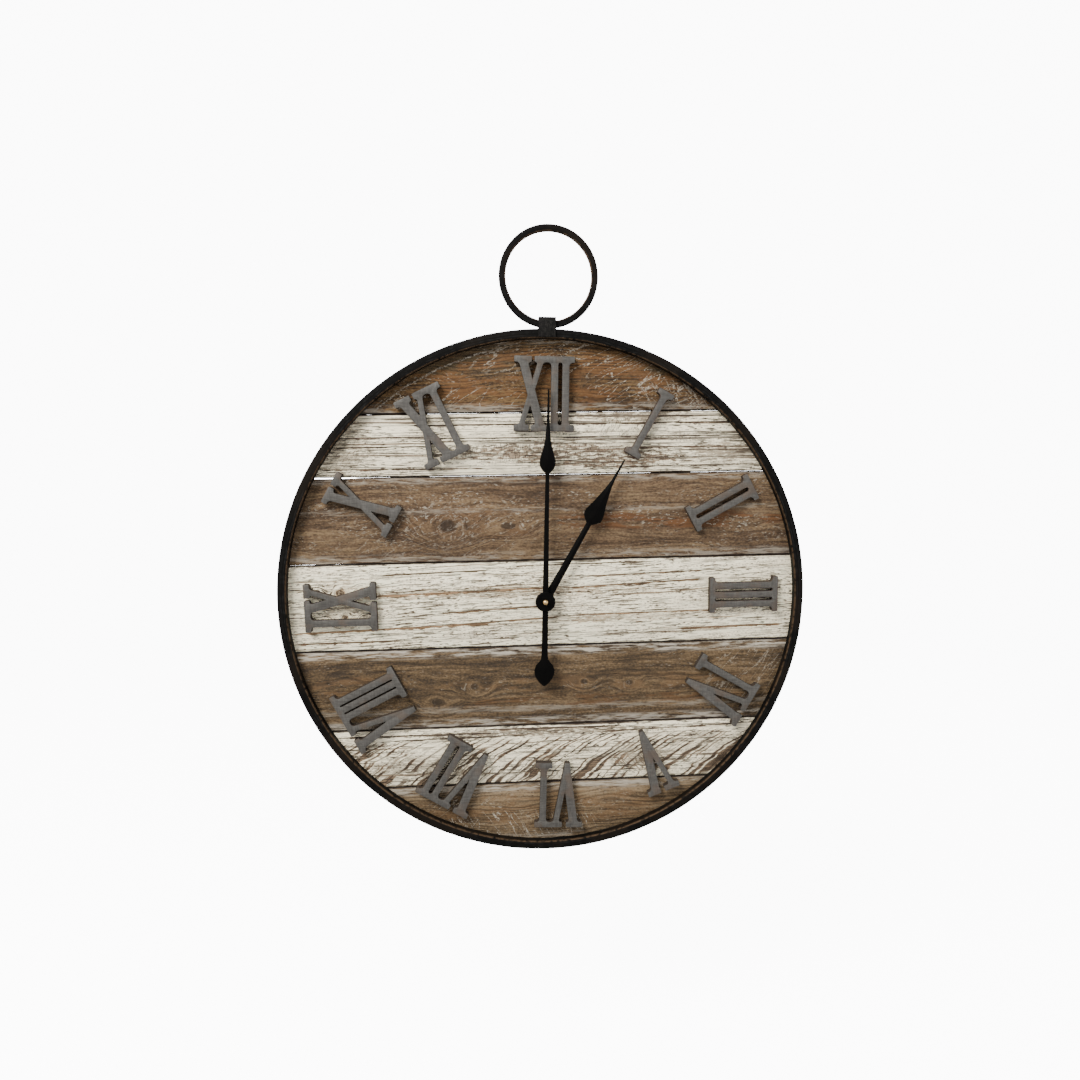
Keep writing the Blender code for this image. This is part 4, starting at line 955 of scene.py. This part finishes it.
head = flat_head()
head.data.materials.append(ZINC)
smooth(head, 40.0)
for i, (bx, bz) in enumerate([(bx, bz) for bx in SCREW_X for bz in SCREW_Z]):
    screw = bpy.data.objects.new(f"batten_screw_{i + 1}", head.data.copy())
    bpy.context.scene.collection.objects.link(screw)
    c, s = math.cos(DIAL_TILT), math.sin(DIAL_TILT)
    edit(screw)
    bpy.ops.transform.rotate(value=math.radians(23.0 * i), orient_axis="Y", center_override=(0, 0, 0))
    bpy.ops.transform.translate(value=((bx * c - bz * s) * MM, 0.35 * MM, (bx * s + bz * c) * MM))
    object_mode()
    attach(screw, "clock")
bpy.data.objects.remove(head)

# ---------------------------------------------------------------- stage, lights and camera
# A white sheet, lit through from behind, swept up behind the clock; a broad soft lamp
# above on the left, a weak one on the right and a low one for the back.

FLOOR_Z, BACK_Y, SWEEP_R = -0.62, 2.6, 1.2


def paper_sweep():
    pick_none()
    bpy.ops.mesh.primitive_plane_add(size=10.0, location=(0, BACK_Y - 5.0, FLOOR_Z))
    sheet = bpy.context.object
    sheet.name = "paper_sweep"
    bpy.ops.object.transform_apply(location=True, rotation=True, scale=True)
    pick_where(sheet, lambda co, n: co.y > (BACK_Y - 0.01) / MM)
    steps = 16
    for i in range(steps):
        a = math.radians(90.0 * (i + 0.5) / steps)
        length = SWEEP_R * math.pi / 2 / steps
        bpy.ops.mesh.extrude_region_move(TRANSFORM_OT_translate={
            "value": (0, length * math.cos(a), length * math.sin(a))})
    bpy.ops.mesh.extrude_region_move(TRANSFORM_OT_translate={"value": (0, 0, 4.0)})
    object_mode()
    look, shader = new_look("white_paper")
    x, y, z = place()
    fleck = cloud(x / 30, y / 30, z / 30)
    feed(shader, Base_Color=fleck.ramp((0.3, (0.93, 0.93, 0.93)), (0.7, (0.945, 0.945, 0.945))),
         Roughness=0.9 + fleck * 0.05)
    shader.inputs["Emission Color"].default_value = (1.0, 1.0, 1.0, 1.0)
    shader.inputs["Emission Strength"].default_value = 10.0
    sheet.data.materials.append(look)
    smooth(sheet)
    sheet.visible_diffuse = False
    sheet.visible_glossy = False


def lamp(name, spot_at, target, size, power, tint=(1.0, 1.0, 1.0)):
    light = bpy.data.lights.new(name, "AREA")
    light.shape = "RECTANGLE"
    light.size, light.size_y = size
    light.energy = power
    light.color = tint
    holder = bpy.data.objects.new(name, light)
    holder.location = spot_at
    holder.rotation_euler = (Vector(target) - Vector(spot_at)).to_track_quat("-Z", "Y").to_euler()
    bpy.context.scene.collection.objects.link(holder)


paper_sweep()
lamp("key", (-1.35, -1.55, 1.75), (0, 0, 0), (1.1, 1.1), 143.0, (1.0, 0.985, 0.955))
lamp("fill", (1.9, -1.7, 0.4), (0, 0, 0), (1.6, 1.6), 22.5, (0.97, 0.985, 1.0))
lamp("rear", (1.4, 1.9, 1.2), (0, 0, 0), (1.4, 1.4), 14.0)

world = bpy.data.worlds.new("studio")
world.use_nodes = True
world.node_tree.nodes["Background"].inputs["Color"].default_value = (0.95, 0.97, 1.0, 1.0)
world.node_tree.nodes["Background"].inputs["Strength"].default_value = 0.78
bpy.context.scene.world = world

lens = bpy.data.cameras.new("camera")
lens.lens = 28.33
lens.sensor_width = 36.0
lens.shift_x = -0.0204
lens.shift_y = 0.0556
lens.clip_start = 0.05
lens.clip_end = 60.0
camera = bpy.data.objects.new("camera", lens)
camera.location = (-0.04744, -0.99908, 0.15667)
camera.rotation_euler = (math.radians(80.815), math.radians(-0.745), math.radians(-3.858))
bpy.context.scene.collection.objects.link(camera)
bpy.context.scene.camera = camera
